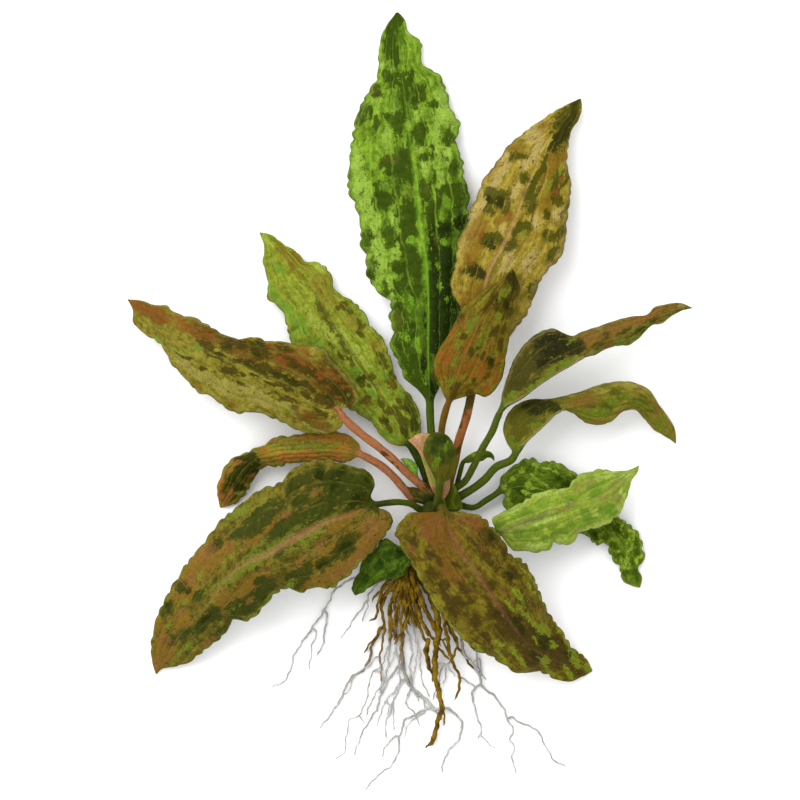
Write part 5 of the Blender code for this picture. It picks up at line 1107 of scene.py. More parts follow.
grow_leaf(
    "left_brown_leaf", shape, colours, marks, seed=4, lie=155, side=0.25, midrib=0.6, rim=0.6, mottle=0.3,
    blotch=0.4,
)

# Curled leaf
# A narrow, soft leaf below it that bends over, so that its dark green tip points back and down. Its
# upper band is green and its lower one orange, and its reddish stalk runs beside the other's.
shape = dict(
    stalk_radius=1.2, stations=150, columns=41, cell_length=3.4, ruffle=0.4, ruffle_length=9, nick=0.5,
    stalk=[(-5.6, 0.3, 4.5), (-8.1, 0.6, 4.9), (-10.8, 3.4, 5.8), (-14.1, 7.2, 6.8), (-18.4, 10.8, 7.6),
        (-22.2, 12.9, 8)],
    rib=[(-24, 13.8, 8.2), (-30, 15, 8.8), (-36.6, 15.3, 9.2), (-42, 15, 9.2), (-48, 14.7, 8.8),
        (-54.6, 12.9, 7.4), (-59.1, 9, 5.4), (-62.4, 3.9, 2.8), (-66, -2.4, 0.15)],
    left=[(-24.3, 13.2), (-27.9, 11.4), (-33.6, 11.7), (-39, 11.2), (-44.4, 11.1), (-49, 9.9),
        (-51.6, 10.2), (-55.2, 7.5), (-57.4, 3.3), (-60.6, -0.6)],
    right=[(-23.7, 14.4), (-24.3, 16.8), (-26.4, 18.9), (-31.8, 20.6), (-36.9, 20.1), (-42.1, 19.8),
        (-45.3, 19.2), (-48.3, 19.2), (-52.8, 16.8), (-58.5, 14.1), (-62.7, 12.2), (-65.7, 7.8),
        (-66.9, 3.6)],
    left_drop=[0, -1.4, -2.2, -2.4, -2.4, -1.2, 0],
    right_drop=[0, -1, -1.8, -2.4, -2.4, -1.2, 0],
)
colours = dict(
    light="#716320", deep="#5e5110", pale="#7e7632", warm="#916317", rust="#815022", dark="#373502",
    vein="#90822d", midrib="#887a1d", rim="#7c5522", stalk="#814928", stalk_light="#9d6a43",
    under="#777146", black="#1e2502", green="#636f20",
)
marks = dict(
    pale=[(-150, 49, 14, 3), (-120, 59, 14, 2)],
    warm=[(-100, 50, 14, 8), (-140, 43, 30, 4), (-218, 10, 5, 14), (-110, 63, 24, 4), (-140, 45, 26, 4),
        (-165, 50, 14, 4)],
    dark=[(-212, 14, 7, 6), (-200, 22, 8, 6), (-190, 30, 6, 4), (-215, 0, 7, 3), (-205, 4, 6, 3),
        (-204, 20, 14, 9), (-190, 35, 12, 7), (-212, 8, 9, 6), (-194, 28, 16, 10), (-208, 12, 10, 9),
        (-214, 3, 6, 6)],
    black=[(-197, 40, 9, 6), (-184, 38, 5, 4), (-192, 33, 8, 4), (-202, 30, 6, 4), (-207, 21, 6, 4),
        (-199, 14, 6, 3), (-190, 44, 6, 3), (-197, 28, 10, 5), (-188, 40, 8, 5), (-206, 14, 8, 4),
        (-193, 32, 10, 6)],
    rust=[(-140, 45, 16, 4), (-115, 43, 16, 3), (-100, 45, 12, 5), (-89, 50, 5, 5), (-95, 60, 6, 4),
        (-155, 42, 6, 3), (-178, 53, 4, 3), (-89, 65, 3, 5), (-125, 63, 12, 2), (-169, 60, 10, 2),
        (-221, 13, 2.5, 6), (-218, 25, 2, 5), (-209, 30, 4, 3), (-209, 8, 3, 5), (-217, 2, 4, 4),
        (-188, 26, 4, 2), (-164, 39, 6, 2), (-221, 10, 3, 12), (-216, 0, 5, 5), (-204, 38, 8, 2.5)],
    green=[(-165, 54, 8, 3), (-167, 45, 5, 3), (-157, 60, 5, 2), (-151, 57, 5, 2), (-120, 52, 8, 2),
        (-105, 54, 6, 2), (-121, 66, 7, 1.5), (-143, 53, 6, 2), (-99, 57, 5, 1.5), (-161, 36, 8, 2),
        (-140, 37, 8, 2), (-200, 8, 6, 1.5), (-157, 51, 14, 3), (-134, 54, 16, 3), (-112, 53, 12, 3),
        (-95, 48, 8, 2.5)],
)
grow_leaf(
    "curled_leaf", shape, colours, marks, seed=5, lie=178, side=0.25, midrib=0.6, rim=0.6, mottle=0.1,
    blotch=0.15,
)

# Lower left leaf
# The large leaf that arches over the surface to the lower left, dark mottled green above its
# midrib and brown below it. It is thin and soft, and its stalk comes from the left of the crown.
shape = dict(
    stalk_radius=0.95, stations=220, columns=61, cell_length=4.2, puff=0.6, ruffle=1.2, ruffle_length=11,
    nick=0.7, midrib_width=0.11,
    stalk=[(-6.4, -2.5, 6.9), (-8.4, -1.3, 7.8), (-12, -0.6, 8.9), (-16.5, -0.9, 10.4)],
    rib=[(-20.1, -1.5, 11.8), (-23.1, -2.7, 12.8), (-27.9, -4.8, 14.6), (-33.6, -6.3, 16.6),
        (-39.6, -9.3, 18.4), (-45.3, -12, 19.6), (-51, -15.9, 20), (-60, -19.8, 19.2), (-65.1, -24.9, 17.2),
        (-70.2, -32.1, 13.6), (-77.5, -39.6, 7.6), (-83.4, -49.2, 1.6), (-85.2, -52.5, 0.15)],
    left=[(-19.2, -2.2), (-15.3, -3.6), (-14.1, -6.3), (-16.5, -10.5), (-19.5, -14.7), (-24.3, -19.2),
        (-27.9, -23.1), (-33, -26.4), (-37.5, -26.1), (-41.7, -27.6), (-45.3, -26.4), (-52.8, -31.8),
        (-55.2, -34.8), (-58.2, -36.3), (-61.2, -35.7), (-65.1, -40.8), (-70.2, -44.7), (-74.7, -48.3),
        (-80.1, -50.1), (-83.4, -50.7)],
    right=[(-20.1, -0.6), (-20.7, 1.2), (-19.5, 5.1), (-21.3, 8.4), (-28.2, 10.5), (-32.7, 12),
        (-40.2, 11.4), (-43.8, 9.6), (-47.7, 5.5), (-54.3, 3), (-60.1, -1.5), (-66, -6.3), (-70.5, -12.3),
        (-75, -17.7), (-79, -23.4), (-82, -28.8), (-84.6, -34.2), (-86.7, -43.8), (-86.4, -48.3)],
    left_drop=[0, -2, -4, -4.6, -4, -1.6, 0],
)
colours = dict(
    light="#62581b", deep="#494109", pale="#71671a", warm="#6c5015", rust="#724c25", dark="#293206",
    vein="#6b6322", midrib="#885e3e", rim="#737c25", stalk="#2f3c08", stalk_light="#495611",
    under="#656a3f", black="#1e2501", green="#5a6518",
)
marks = dict(
    pale=[(-175, -5, 22, 7), (-120, -11, 10, 4), (-215, -60, 12, 4)],
    warm=[(-132, 16, 12, 5), (-150, -19, 10, 5), (-220, -49, 16, 9), (-243, -70, 18, 9), (-280, -125, 6, 8),
        (-95, -55, 40, 20), (-140, -78, 26, 11), (-283, -160, 12, 10), (-60, -30, 10, 14),
        (-190, -85, 20, 8), (-178, -30, 24, 7), (-235, -60, 24, 13), (-255, -92, 16, 12),
        (-140, -85, 24, 10), (-275, -150, 12, 14), (-258, -120, 12, 8), (-100, -60, 30, 14),
        (-95, -20, 20, 5), (-215, -100, 10, 14)],
    dark=[(-108, 25, 18, 7), (-88, 3, 18, 8), (-139, 0, 10, 5), (-95, 19, 10, 6), (-75, 19, 8, 6),
        (-122, 28, 8, 6), (-180, -25, 20, 6), (-200, -31, 12, 6), (-258, -87, 8, 5), (-242, -96, 8, 5),
        (-273, -108, 9, 5), (-129, 14, 6, 4), (-159, -5, 8, 4), (-224, -45, 10, 4), (-270, -141, 6, 5),
        (-92, -44, 14, 9), (-116, -63, 9, 7), (-133, -68, 8, 6), (-160, -52, 7, 5), (-179, -82, 7, 5),
        (-204, -106, 10, 7), (-228, -116, 12, 7), (-240, -127, 10, 6), (-150, -76, 6, 4), (-105, -58, 8, 4),
        (-255, -133, 8, 5), (-65, 0, 6, 5), (-95, 17, 26, 14), (-78, 8, 14, 12), (-140, 18, 18, 7),
        (-178, -12, 22, 6), (-90, 20, 30, 12), (-66, 2, 12, 14), (-118, -6, 26, 9), (-155, -25, 24, 6),
        (-185, -100, 28, 8), (-208, -128, 18, 7), (-142, -78, 20, 9), (-95, -48, 14, 8)],
    black=[(-100, 28, 10, 4), (-84, 0, 10, 4), (-120, 23, 6, 4), (-95, -47, 7, 4), (-118, -65, 5, 3),
        (-105, 14, 8, 3), (-234, -120, 6, 3), (-251, -90, 5, 3), (-275, -106, 4, 3), (-70, 22, 5, 3)],
    rust=[(-68, -25, 12, 8), (-80, -52, 7, 6), (-102, -73, 8, 6), (-230, -141, 6, 4), (-155, -15, 6, 3),
        (-285, -165, 7, 7), (-120, -46, 10, 4), (-140, -60, 8, 4), (-174, -71, 5, 3), (-190, -101, 5, 3),
        (-250, -60, 8, 3), (-265, -76, 6, 3), (-122, 10, 5, 3), (-56, -12, 5, 5), (-210, -45, 8, 3),
        (-235, -52, 12, 7), (-250, -78, 9, 6), (-88, -66, 10, 5), (-68, -40, 7, 7), (-275, -140, 5, 7),
        (-260, -112, 8, 3)],
    green=[(-200, -12, 20, 4), (-150, -85, 12, 3.5), (-168, -95, 10, 3.5), (-205, -107, 6, 3),
        (-255, -149, 13, 3), (-197, -66, 20, 7), (-211, -80, 12, 4), (-118, -24, 18, 2), (-128, -40, 18, 2),
        (-180, -45, 14, 3), (-265, -161, 10, 2), (-240, -75, 8, 3), (-256, -101, 8, 3), (-270, -125, 6, 3),
        (-178, 0, 14, 3), (-62, 12, 6, 3), (-225, -100, 5, 3), (-178, -56, 60, 5), (-208, -74, 30, 4),
        (-122, -28, 40, 4), (-182, -112, 26, 4)],
)
grow_leaf(
    "lower_left_leaf", shape, colours, marks, seed=6, lie=38, midrib=0.6, rim=0.5, mottle=0.45,
    midrib_end=0.75, blotch=0.6,
)

# Dark green leaf
# The dark green, puckered leaf that lies under the light one at the right. Its blade is thin and
# soft, and its green stalk runs back to the crown.
shape = dict(
    stalk_radius=0.9, stations=170, columns=49, cell_length=2.6, puff=0.6, ruffle=0.7, ruffle_length=7,
    nick=0.7, nick_length=2.6, streak_length=2.5,
    stalk=[(5.7, -1.5, 3.2), (10.2, -2.2, 3.6), (14.1, 0.1, 3.9), (16.8, 1.8, 4.2)],
    rib=[(18.6, 3, 4.4), (24.6, 4.2, 5), (31.5, 3, 5.4), (39, 0, 5.4), (45, -4.5, 5), (50.1, -9.3, 4.2),
        (54.6, -15.3, 2.6), (57.6, -21.6, 1.2), (60, -26.4, 0.15)],
    left=[(18, 4.2), (18.1, 6.6), (20.1, 8.7), (23.6, 11.4), (27.6, 12.6), (30, 11.4), (33.6, 11.7),
        (36.9, 10.5), (40.5, 8.1), (45, 4.5), (49.5, 0), (52.5, -3), (54.4, -5.7), (56.7, -7.2),
        (60, -10.8), (60.9, -14.7), (61.2, -18.3), (59.4, -20.1), (60.6, -23.4)],
    right=[(18.6, 2.4), (19.5, 1.2), (18.6, -0.9), (20.1, -3), (23.1, -6.6), (27.6, -9.3), (33, -11.1),
        (39, -10.8), (43.2, -10.3), (47.4, -13.5), (49.4, -12.9), (51.3, -17.2), (53.7, -20.1),
        (54.9, -24.3), (56.2, -25.2)],
    left_drop=[0, -0.8, -1.6, -1.8, -1.2, -0.5, 0],
)
colours = dict(
    light="#607515", deep="#42540c", pale="#8d9f3d", dark="#344701", vein="#667a1e", midrib="#668923",
    rim="#52711b", stalk="#304108", stalk_light="#495811", under="#556735", black="#243201", green="#7d9427",
)
marks = dict(
    pale=[(185, -73, 3, 2), (108, 32, 3, 2), (69, 4, 3, 5), (65, 14, 3, 4)],
    dark=[(115, 25, 6, 6), (121, 19, 6, 4), (80, 14, 10, 8), (96, 9, 8, 4), (75, 2, 8, 5), (131, 20, 6, 5),
        (123, 13, 6, 3), (90, 29, 4, 4), (101, 30, 4, 3), (112, 18, 4, 4), (170, -25, 8, 3),
        (177, -30, 6, 5), (166, -36, 5, 4), (155, -35, 5, 4), (175, -46, 5, 4), (185, -35, 3, 4),
        (195, -41, 5, 4), (180, -56, 5, 4), (190, -61, 5, 4), (186, -71, 5, 4), (197, -52, 3, 4),
        (194, -73, 4, 3), (198, -79, 3, 3)],
    black=[(117, 23, 4, 3), (125, 16, 4, 3), (176, -31, 4, 3), (157, -34, 3, 2), (80, 10, 5, 3)],
    green=[(95, 34, 4, 4), (87, 16, 3, 4), (94, 12, 6, 1.5), (115, 28, 4, 2), (105, 15, 5, 1.5),
        (82, 29, 4, 4), (72, 22, 3, 4), (183, -26, 2, 5), (187, -41, 2, 6), (190, -51, 2, 5),
        (180, -61, 2, 3), (188, -66, 2, 4), (200, -46, 2, 3), (197, -61, 2, 4), (160, -41, 3, 2),
        (192, -30, 5, 2), (178, -51, 2, 3), (201, -56, 3, 2), (95, 24, 8, 2), (88, 8, 6, 2),
        (105, 32, 5, 2), (186, -60, 2.5, 10), (194, -36, 3, 8)],
)
grow_leaf(
    "dark_green_leaf", shape, colours, marks, seed=7, lie=-20, side=0.35, midrib=0.4, rim=0.4, mottle=0.4,
    blotch=0.4,
)

# Light green leaf
# The light green leaf above it, with a paler rim and brownish streaks towards the tip. Its thin
# blade is puffed up between the veins, and its stalk joins the crown beside the dark one's.
shape = dict(
    stalk_radius=1.05, stations=180, columns=53, cell_length=4, ruffle=0.8, ruffle_length=9, nick=0.5,
    stalk=[(3.4, -5.7, 7.4), (7.5, -8.4, 8.7), (12.6, -9.6, 10), (15.9, -9.9, 10.9)],
    rib=[(17.7, -9.3, 11.4), (23.6, -7.2, 12.6), (30.9, -5.2, 13.8), (38.1, -2.7, 14.2), (45.3, -0.3, 13.6),
        (52.5, 4.8, 11.4), (59.7, 10.5, 8)],
    left=[(16.5, -8.7), (15.6, -5.4), (18, -3.9), (21, -2.4), (25.1, -0.2), (29.4, 2.4), (34.5, 3.4),
        (37.4, 3.6), (41.1, 7.2), (44.7, 8.7), (48, 9.3), (52.5, 8.7), (57.3, 9.3)],
    right=[(18, -10.2), (19.8, -12.9), (21.3, -14.7), (25.3, -15.3), (30, -15.6), (33, -14.4),
        (34.2, -12.9), (37.4, -13.5), (40.2, -12.3), (41.7, -9.9), (45.3, -8.7), (50.1, -7.2), (53.7, -3.9),
        (56.2, 1.6), (57.3, 5.4), (59.4, 9)],
    left_drop=[0, -1.6, -2.6, -3, -2.4, -1, 0],
)
colours = dict(
    light="#7e8e2d", deep="#637a1b", pale="#96a751", warm="#716a28", rust="#716746", dark="#556d18",
    vein="#889849", midrib="#5d5a2f", rim="#8e9b53", stalk="#304108", stalk_light="#495811",
    under="#798650", green="#56771b",
)
marks = dict(
    pale=[(165, 25, 22, 3), (188, 23, 8, 6), (100, 8, 10, 4), (88, 1, 8, 3), (75, -10, 8, 3),
        (150, -10, 8, 2), (182, 3, 4, 8), (155, -27, 14, 2), (95, -46, 16, 3), (120, -41, 10, 1.5),
        (155, -17, 5, 3), (105, -21, 14, 2), (165, -22, 10, 2), (178, -5, 3, 6), (120, 10, 8, 3)],
    warm=[(148, 17, 9, 4), (138, 14, 6, 3), (128, -5, 7, 3), (122, -9, 6, 2), (165, 3, 10, 3),
        (173, 14, 5, 3), (182, 19, 5, 2.5), (178, 0, 5, 4), (135, -31, 5, 2.5)],
    dark=[(95, -32, 10, 4), (105, -38, 4, 4), (120, -32, 10, 4), (130, -25, 6, 3), (100, -15, 10, 3),
        (131, 0, 8, 4), (145, -12, 6, 4), (150, -20, 6, 4), (165, -8, 8, 4), (172, -12, 5, 3),
        (155, 7, 8, 3), (112, -25, 6, 2.5), (155, 14, 8, 3), (85, -12, 6, 3), (80, -32, 6, 4),
        (60, -24, 5, 4)],
    rust=[(72, -27, 16, 2.8), (90, -19, 12, 2), (108, -12, 10, 1.6), (150, 19, 5, 2), (174, 17, 4, 2),
        (127, -3, 4, 3), (160, 2, 4, 2), (172, 9, 3, 1.5), (137, -29, 4, 2)],
    green=[(156, 8, 5, 2), (75, -16, 8, 3), (161, 16, 6, 2), (165, 10, 6, 2), (145, -18, 5, 4),
        (143, -24, 5, 3), (168, -11, 8, 4), (90, -30, 8, 3), (105, -3, 8, 3)],
)
grow_leaf(
    "light_green_leaf", shape, colours, marks, seed=8, lie=22, midrib=0.75, rim=0.7, mottle=0.25,
    blotch=0.3, soft=1.6,
)

# Upper folded leaf
# A thin leaf to the right, folded along its midrib, on a long green stalk from the crown. Its near
# part above the fold is dark with painted shade, and its outer part runs out tan and narrow to the tip.
shape = dict(
    stalk_radius=1.05, stations=170, columns=45, cell_length=3.6, ruffle=0.3, ruffle_length=9, nick=0.15,
    stalk=[(4, 3.3, 7.3), (7.2, 5.4, 8.4), (9.9, 9.9, 9.8), (12.9, 15.9, 11.4), (15.8, 21, 12.8),
        (17.4, 25.2, 14)],
    rib=[(18.9, 27.6, 14.8), (24.6, 30.4, 16.2), (28.8, 33.6, 17.2), (35.1, 37.8, 17.8), (40.8, 41.1, 17.6),
        (48, 47.1, 16.4), (57, 50.4, 13.6), (66, 55.5, 9.6), (75.8, 57.6, 4.6)],
    left=[(18.1, 28.5), (18.6, 32.1), (19.8, 36), (22.2, 42.3), (26.4, 47.9), (30.6, 50.7), (33.9, 51.4),
        (36.9, 50.1), (39.6, 49.2), (42.3, 50.4), (46.9, 51.9), (54, 54.3), (58.2, 55.2), (61.8, 55.5),
        (63.9, 57.6), (68.1, 58.8), (72.3, 59.1)],
    right=[(19.2, 29.1), (22.2, 32.4), (26.4, 36), (31.5, 39), (36.6, 41.7), (41.4, 42.6), (46.5, 43.5),
        (49.8, 45.3), (53.2, 46.2), (56.7, 46.5), (59.7, 48.6), (63.9, 52.5), (66.3, 52.8), (68.7, 54.6),
        (72.3, 56.7)],
    left_drop=[0, -2, -3, -3.4, -3, -2, 0],
    right_drop=[0, -6, -7, -4, -2.4, -1.2, 0],
)
colours = dict(
    light="#625618", deep="#564b0e", pale="#887a47", warm="#674c16", rust="#6f4c1e", dark="#323208",
    vein="#6a5a2c", midrib="#495a0e", rim="#5f7423", stalk="#304108", stalk_light="#495811",
    under="#67673a", black="#151904", green="#556818",
)
marks = dict(
    pale=[(244, 195, 6, 3), (150, 145, 6, 2), (225, 178, 8, 2), (138, 140, 8, 2)],
    warm=[(160, 160, 18, 6), (200, 179, 26, 6), (75, 144, 12, 7), (85, 155, 12, 5)],
    # The broad dark marks and the black ones over the near part are painted shade.
    dark=[(84, 138, 26, 14), (105, 155, 22, 18), (75, 111, 9, 4), (100, 170, 12, 5), (200, 170, 9, 2.5),
        (165, 164, 8, 3), (185, 170, 8, 2), (210, 180, 8, 2), (158, 155, 6, 2.5), (68, 104, 6, 4),
        (95, 120, 8, 3), (95, 140, 26, 14), (80, 120, 16, 10)],
    black=[(112, 156, 18, 13), (132, 151, 14, 6), (110, 168, 10, 5), (105, 138, 8, 4), (120, 148, 16, 10),
        (108, 162, 14, 7)],
    rust=[(155, 162, 10, 4), (173, 171, 10, 3.5), (200, 179, 12, 3.5), (216, 188, 12, 4),
        (229, 192, 8, 3.5), (185, 177, 8, 3), (148, 166, 8, 3), (168, 155, 7, 2.5)],
    green=[(122, 135, 22, 4), (105, 122, 12, 4), (90, 112, 10, 4), (73, 105, 10, 4), (67, 98, 6, 4),
        (180, 158, 9, 4.5), (195, 162, 9, 3.5), (210, 172, 8, 2.5), (160, 148, 10, 2.5), (170, 152, 6, 2.5),
        (225, 180, 8, 2), (192, 169, 8, 1.5), (205, 175, 6, 1.5), (130, 158, 8, 1.5)],
)
grow_leaf(
    "folded_upper_leaf", shape, colours, marks, seed=9, lie=27, midrib=0.8, rim=0.7, mottle=0.4,
    blotch=0.45, soft=1.6,
)

# Lower folded leaf
# The leaf below it, thin and folded in the same way, olive brown, with its outer part bent down at
# the right, on a stalk of its own from the crown. Its near part above the fold is dark with painted
# shade, as on the upper one.
shape = dict(
    stalk_radius=1.2, stations=170, columns=45, cell_length=3.6, ruffle=0.3, ruffle_length=9, nick=0.15,
    stalk=[(5.5, 0.9, 6.6), (9.6, 3.3, 7.2), (13.2, 6, 8), (16.8, 9.9, 9), (21.6, 12.3, 10)],
    rib=[(23.2, 14.7, 10.8), (26.7, 18, 12), (30.9, 21.9, 13), (35.4, 26.1, 13.6), (41.4, 29.1, 13.6),
        (51.6, 30, 12.6), (60, 29.7, 10.6), (65.4, 24.6, 7.6), (70.8, 16.8, 3.4)],
    left=[(21.9, 14.4), (20.2, 16.8), (18.9, 21), (19.5, 24.3), (21.6, 27.6), (24.3, 29.4), (27.6, 30.3),
        (31.5, 30.3), (41.4, 32.4), (49.8, 35.1), (57.4, 35.4), (62.4, 33.3), (66, 28.1), (68.7, 24.6),
        (70.5, 21)],
    right=[(23.7, 15), (26.1, 18.9), (29.4, 22.8), (33.6, 26.7), (37.2, 27), (40.5, 25.5), (43.2, 23.4),
        (46.9, 22.5), (51.6, 23.7), (54.6, 26.4), (58.2, 27), (61.2, 24.3), (64.2, 21), (67.2, 19.2),
        (69.6, 17.7)],
    left_drop=[0, -2, -3, -3, -2.4, -1.4, 0],
    right_drop=[0, -4, -5, -3, -2.4, -1.4, 0],
)
colours = dict(
    light="#716a1b", deep="#585610", pale="#867e35", warm="#675016", rust="#6c4c20", dark="#444409",
    vein="#656528", midrib="#49560e", rim="#775d3a", stalk="#304108", stalk_light="#495811",
    under="#67673a", black="#181d06", green="#506310",
)
marks = dict(
    pale=[(190, 115, 16, 3.5), (160, 110, 16, 3), (206, 111, 6, 4), (216, 99, 4, 6), (229, 80, 2.5, 7),
        (130, 105, 10, 1.5)],
    warm=[(145, 98, 16, 6), (215, 95, 8, 6), (72, 70, 6, 10)],
    # The broad dark marks near the base and the black ones are painted shade over the near part.
    dark=[(84, 83, 18, 14), (76, 66, 8, 8), (165, 95, 10, 5), (182, 104, 8, 3), (201, 98, 10, 3),
        (211, 89, 6, 3), (175, 108, 8, 3), (150, 96, 6, 3)],
    black=[(98, 93, 16, 8), (112, 93, 8, 4), (88, 99, 8, 3), (102, 95, 14, 7), (90, 100, 12, 5)],
    rust=[(140, 99, 12, 3.5), (132, 95, 8, 3), (150, 102, 8, 3.5), (178, 88, 6, 3), (160, 79, 8, 1.5),
        (191, 104, 6, 2), (216, 88, 5, 3), (226, 74, 3, 6), (200, 112, 5, 2)],
    green=[(100, 74, 14, 2.5), (70, 92, 6, 4), (65, 70, 3, 9), (77, 96, 6, 2.5), (82, 54, 5, 6),
        (72, 59, 3, 7), (161, 87, 12, 5), (150, 85, 7, 4), (171, 98, 9, 4), (145, 90, 6, 3),
        (200, 96, 10, 2.5), (185, 104, 8, 3), (220, 78, 4, 7), (224, 69, 3, 5), (120, 104, 12, 1.5),
        (210, 92, 5, 3)],
)
grow_leaf(
    "folded_lower_leaf", shape, colours, marks, seed=10, lie=-4, midrib=0.6, rim=0.7, mottle=0.4,
    blotch=0.4, soft=1.6,
)

# Hooked leaf
# A new leaf at the right of the crown, still rolled up, fleshy and green, and bent over like a
# hook. It grows out of the crown between the older stalks.
shape = dict(
    stalk_radius=0.75, stations=70, columns=29, veins=2, cell_length=2, puff=0.08, ruffle=0.1,
    ruffle_length=5, nick=0.05, stalk_fade=0.1,
    stalk=[(4.8, 3, 4.7), (5.7, 7.2, 5.2)],
    rib=[(6.8, 11.4, 5.8), (9, 13, 6.4), (12, 13.5, 6.6), (14.4, 13.8, 6.2), (16.2, 11.7, 5.2)],
    left=[(6.1, 11.4), (7.8, 12.9), (10.2, 14.4), (14.1, 14.8), (15.6, 14.1), (16.3, 12.6)],
    right=[(7.3, 11.2), (8.4, 11.1), (10.2, 11.5), (12.9, 11.8), (14.4, 12.8), (15.3, 12.6), (15.9, 12)],
    left_drop=[0, -0.8, -1.2, -0.6, 0],
)
colours = dict(
    light="#566a18", deep="#3f5309", pale="#829825", dark="#354e02", vein="#63881e", midrib="#6f922d",
    rim="#5e821b", stalk="#324309", stalk_light="#495d11", under="#596f3a",
)
marks = dict(
    pale=[(34, 46, 6, 1.5)],
    dark=[(48, 44, 6, 3), (26, 37, 4, 2)],
)
grow_leaf("hooked_leaf", shape, colours, marks, seed=11, lie=0, midrib=0.5, rim=0.4, mottle=0.3, blotch=0.2)

# Sprout leaf
# A tiny bright green leaf at the left of the crown, soft and thin, on a stalk that has hardly
# grown.
shape = dict(
    stalk_radius=0.45, stations=60, columns=29, veins=2, cell_length=2, puff=0.08, ruffle=0.1,
    ruffle_length=5, nick=0.04,
    stalk=[(-5, 2.2, 5), (-5.5, 3.6, 5.3)],
    rib=[(-6.3, 4.8, 5.6), (-7.8, 8.1, 6), (-9.6, 10.5, 6), (-12, 12.3, 5.6)],
    left=[(-6.6, 4.5), (-7.5, 6.3), (-9.2, 9)],
    right=[(-6, 5.1), (-6.6, 7.5), (-6.9, 10.5), (-8.7, 12.2), (-10.8, 12.6)],
    left_drop=[0, -0.4, -0.6, 0],
)
colours = dict(
    light="#6d8b32", deep="#5a7a22", pale="#889f53", dark="#3d8603", vein="#7cc730", midrib="#7cc730",
    rim="#7cc730", stalk="#3a7c15", stalk_light="#559122", under="#6f914c", green="#75bb21",
)
marks = dict(
    pale=[(-33, 37, 6, 2)],
    green=[(-28, 30, 7, 2)],
)
grow_leaf(
    "sprout_leaf", shape, colours, marks, seed=12, lie=135, midrib=0.5, rim=0.4, mottle=0.15, blotch=0.1,
)

# Crown sheath
# The dark green pointed sheath at the crown, which the youngest leaves grow out of. It is fleshy,
# and it sits on the upper end of the rhizome.
shape = dict(
    stalk_radius=0.7, stations=60, columns=33, cell_length=3, puff=0.05, ruffle=0, ruffle_length=8,
    nick=0.03,
    stalk=[(4.2, -3.9, 8.9), (4.2, -3.3, 9.1)],
    rib=[(4.2, -2.7, 9.3), (4, 0, 9.9), (3.9, 3, 10), (3.8, 5.7, 9.7)],
    left=[(1.8, -2.9), (1.9, 0.3), (2.7, 3)],
    right=[(6.9, -2.9), (6.3, 0.3), (5.1, 3)],
    left_drop=[0, -0.5, -0.4, 0],
    right_drop=[-0.6, -1.4, -0.8, 0],
)
colours = dict(
    light="#5a640c", deep="#475109", pale="#6c8627", warm="#624c17", dark="#353e02", vein="#627a1d",
    midrib="#4b5a0c", rim="#635311", stalk="#283708", stalk_light="#3a4b0e", under="#555d32",
    green="#566c17",
)
marks = dict(
    warm=[(20, 8, 8, 2)],
    dark=[(9, 3, 10, 4), (18, 0, 8, 3)],
    green=[(15, 14, 6, 2)],
)
grow_leaf(
    "crown_sheath", shape, colours, marks, seed=13, lie=90, side=0.4, midrib=0.4, rim=0.4, mottle=0.3,
    blotch=0.3,
)

# Pink young leaf
# A leaf still opening behind it, peach and pink, with a light green margin. It is thin and tender,
# and a short stalk holds it in the crown.
shape = dict(
    stalk_radius=0.8, stations=80, columns=33, veins=2, cell_length=3, puff=0.1, ruffle=0, ruffle_length=8,
    nick=0.05,
    stalk=[(1.2, -1.5, 10.3), (0.9, -0.6, 10.7)],
    rib=[(0.6, 0.3, 11.1), (0, 3, 12), (-0.9, 7.5, 13.1), (-2.4, 12, 13.8), (-4.8, 15.9, 14.2),
        (-7.2, 18, 13.8), (-9.6, 18, 12.8)],
    left=[(0, 0), (-2.4, 3), (-3.9, 7.2), (-5.1, 11.1), (-6.6, 14.7)],
    right=[(1.3, 0.3), (2.7, 2.7), (3, 6.6), (2.1, 10.5), (0, 15.3), (-3, 19.9), (-5.7, 20.1)],
    left_drop=[0, -0.4, -0.8, -0.6, 0],
)
colours = dict(
    light="#9f7a53", deep="#8e6a3f", pale="#ac8e6a", warm="#956749", dark="#715325", vein="#98714c",
    midrib="#8e633f", rim="#77772f", stalk="#3c490c", stalk_light="#637122", under="#a97756",
    green="#637e16",
)
marks = dict(
    pale=[(-22, 62, 6, 3)],
    warm=[(-26, 58, 6, 3)],
    dark=[(-4, 6, 8, 3)],
    green=[(-9, 24, 13, 4), (-13, 36, 8, 3), (16, 30, 10, 2)],
)
grow_leaf(
    "pink_young_leaf", shape, colours, marks, seed=14, lie=110, midrib=0.4, rim=0.8, mottle=0.2, blotch=0.1,
    soft=1.8,
)

# Young leaf
# A short dark oval leaf in front of the leafstalks. It is still growing, and a short stalk holds
# its thin blade in the crown.
shape = dict(
    stalk_radius=1.1, stations=90, columns=37, cell_length=3, puff=0.2, ruffle=0.2, ruffle_length=8,
    nick=0.08, stalk_fade=0.12,
    stalk=[(-1.1, -1.5, 11.9), (-0.6, 0.9, 13.5), (-0.1, 3.6, 15.2)],
    rib=[(-0.4, 5.1, 16.2), (-0.6, 9, 18.2), (-0.3, 13.5, 19.6), (-0.3, 17.4, 19.4), (-0.9, 20.4, 18.2)],
    left=[(-1.3, 5.5), (-2.1, 7.5), (-3.9, 11.1), (-5.1, 14.7), (-4.5, 17.4), (-3, 19.8)],
    right=[(0.9, 5.4), (2.4, 6), (4.2, 7.8), (5.1, 12), (4.5, 15.3), (3, 18.6), (0.9, 20.1)],
    left_drop=[0, -0.8, -1.4, -1.2, 0],
)
colours = dict(
    light="#454d0c", deep="#353e08", pale="#5d6716", warm="#52440c", rust="#563d0c", dark="#273208",
    vein="#525a15", midrib="#61681d", rim="#52490e", stalk="#353f09", stalk_light="#495315",
    under="#5b6035", black="#1b2902", green="#526711",
)
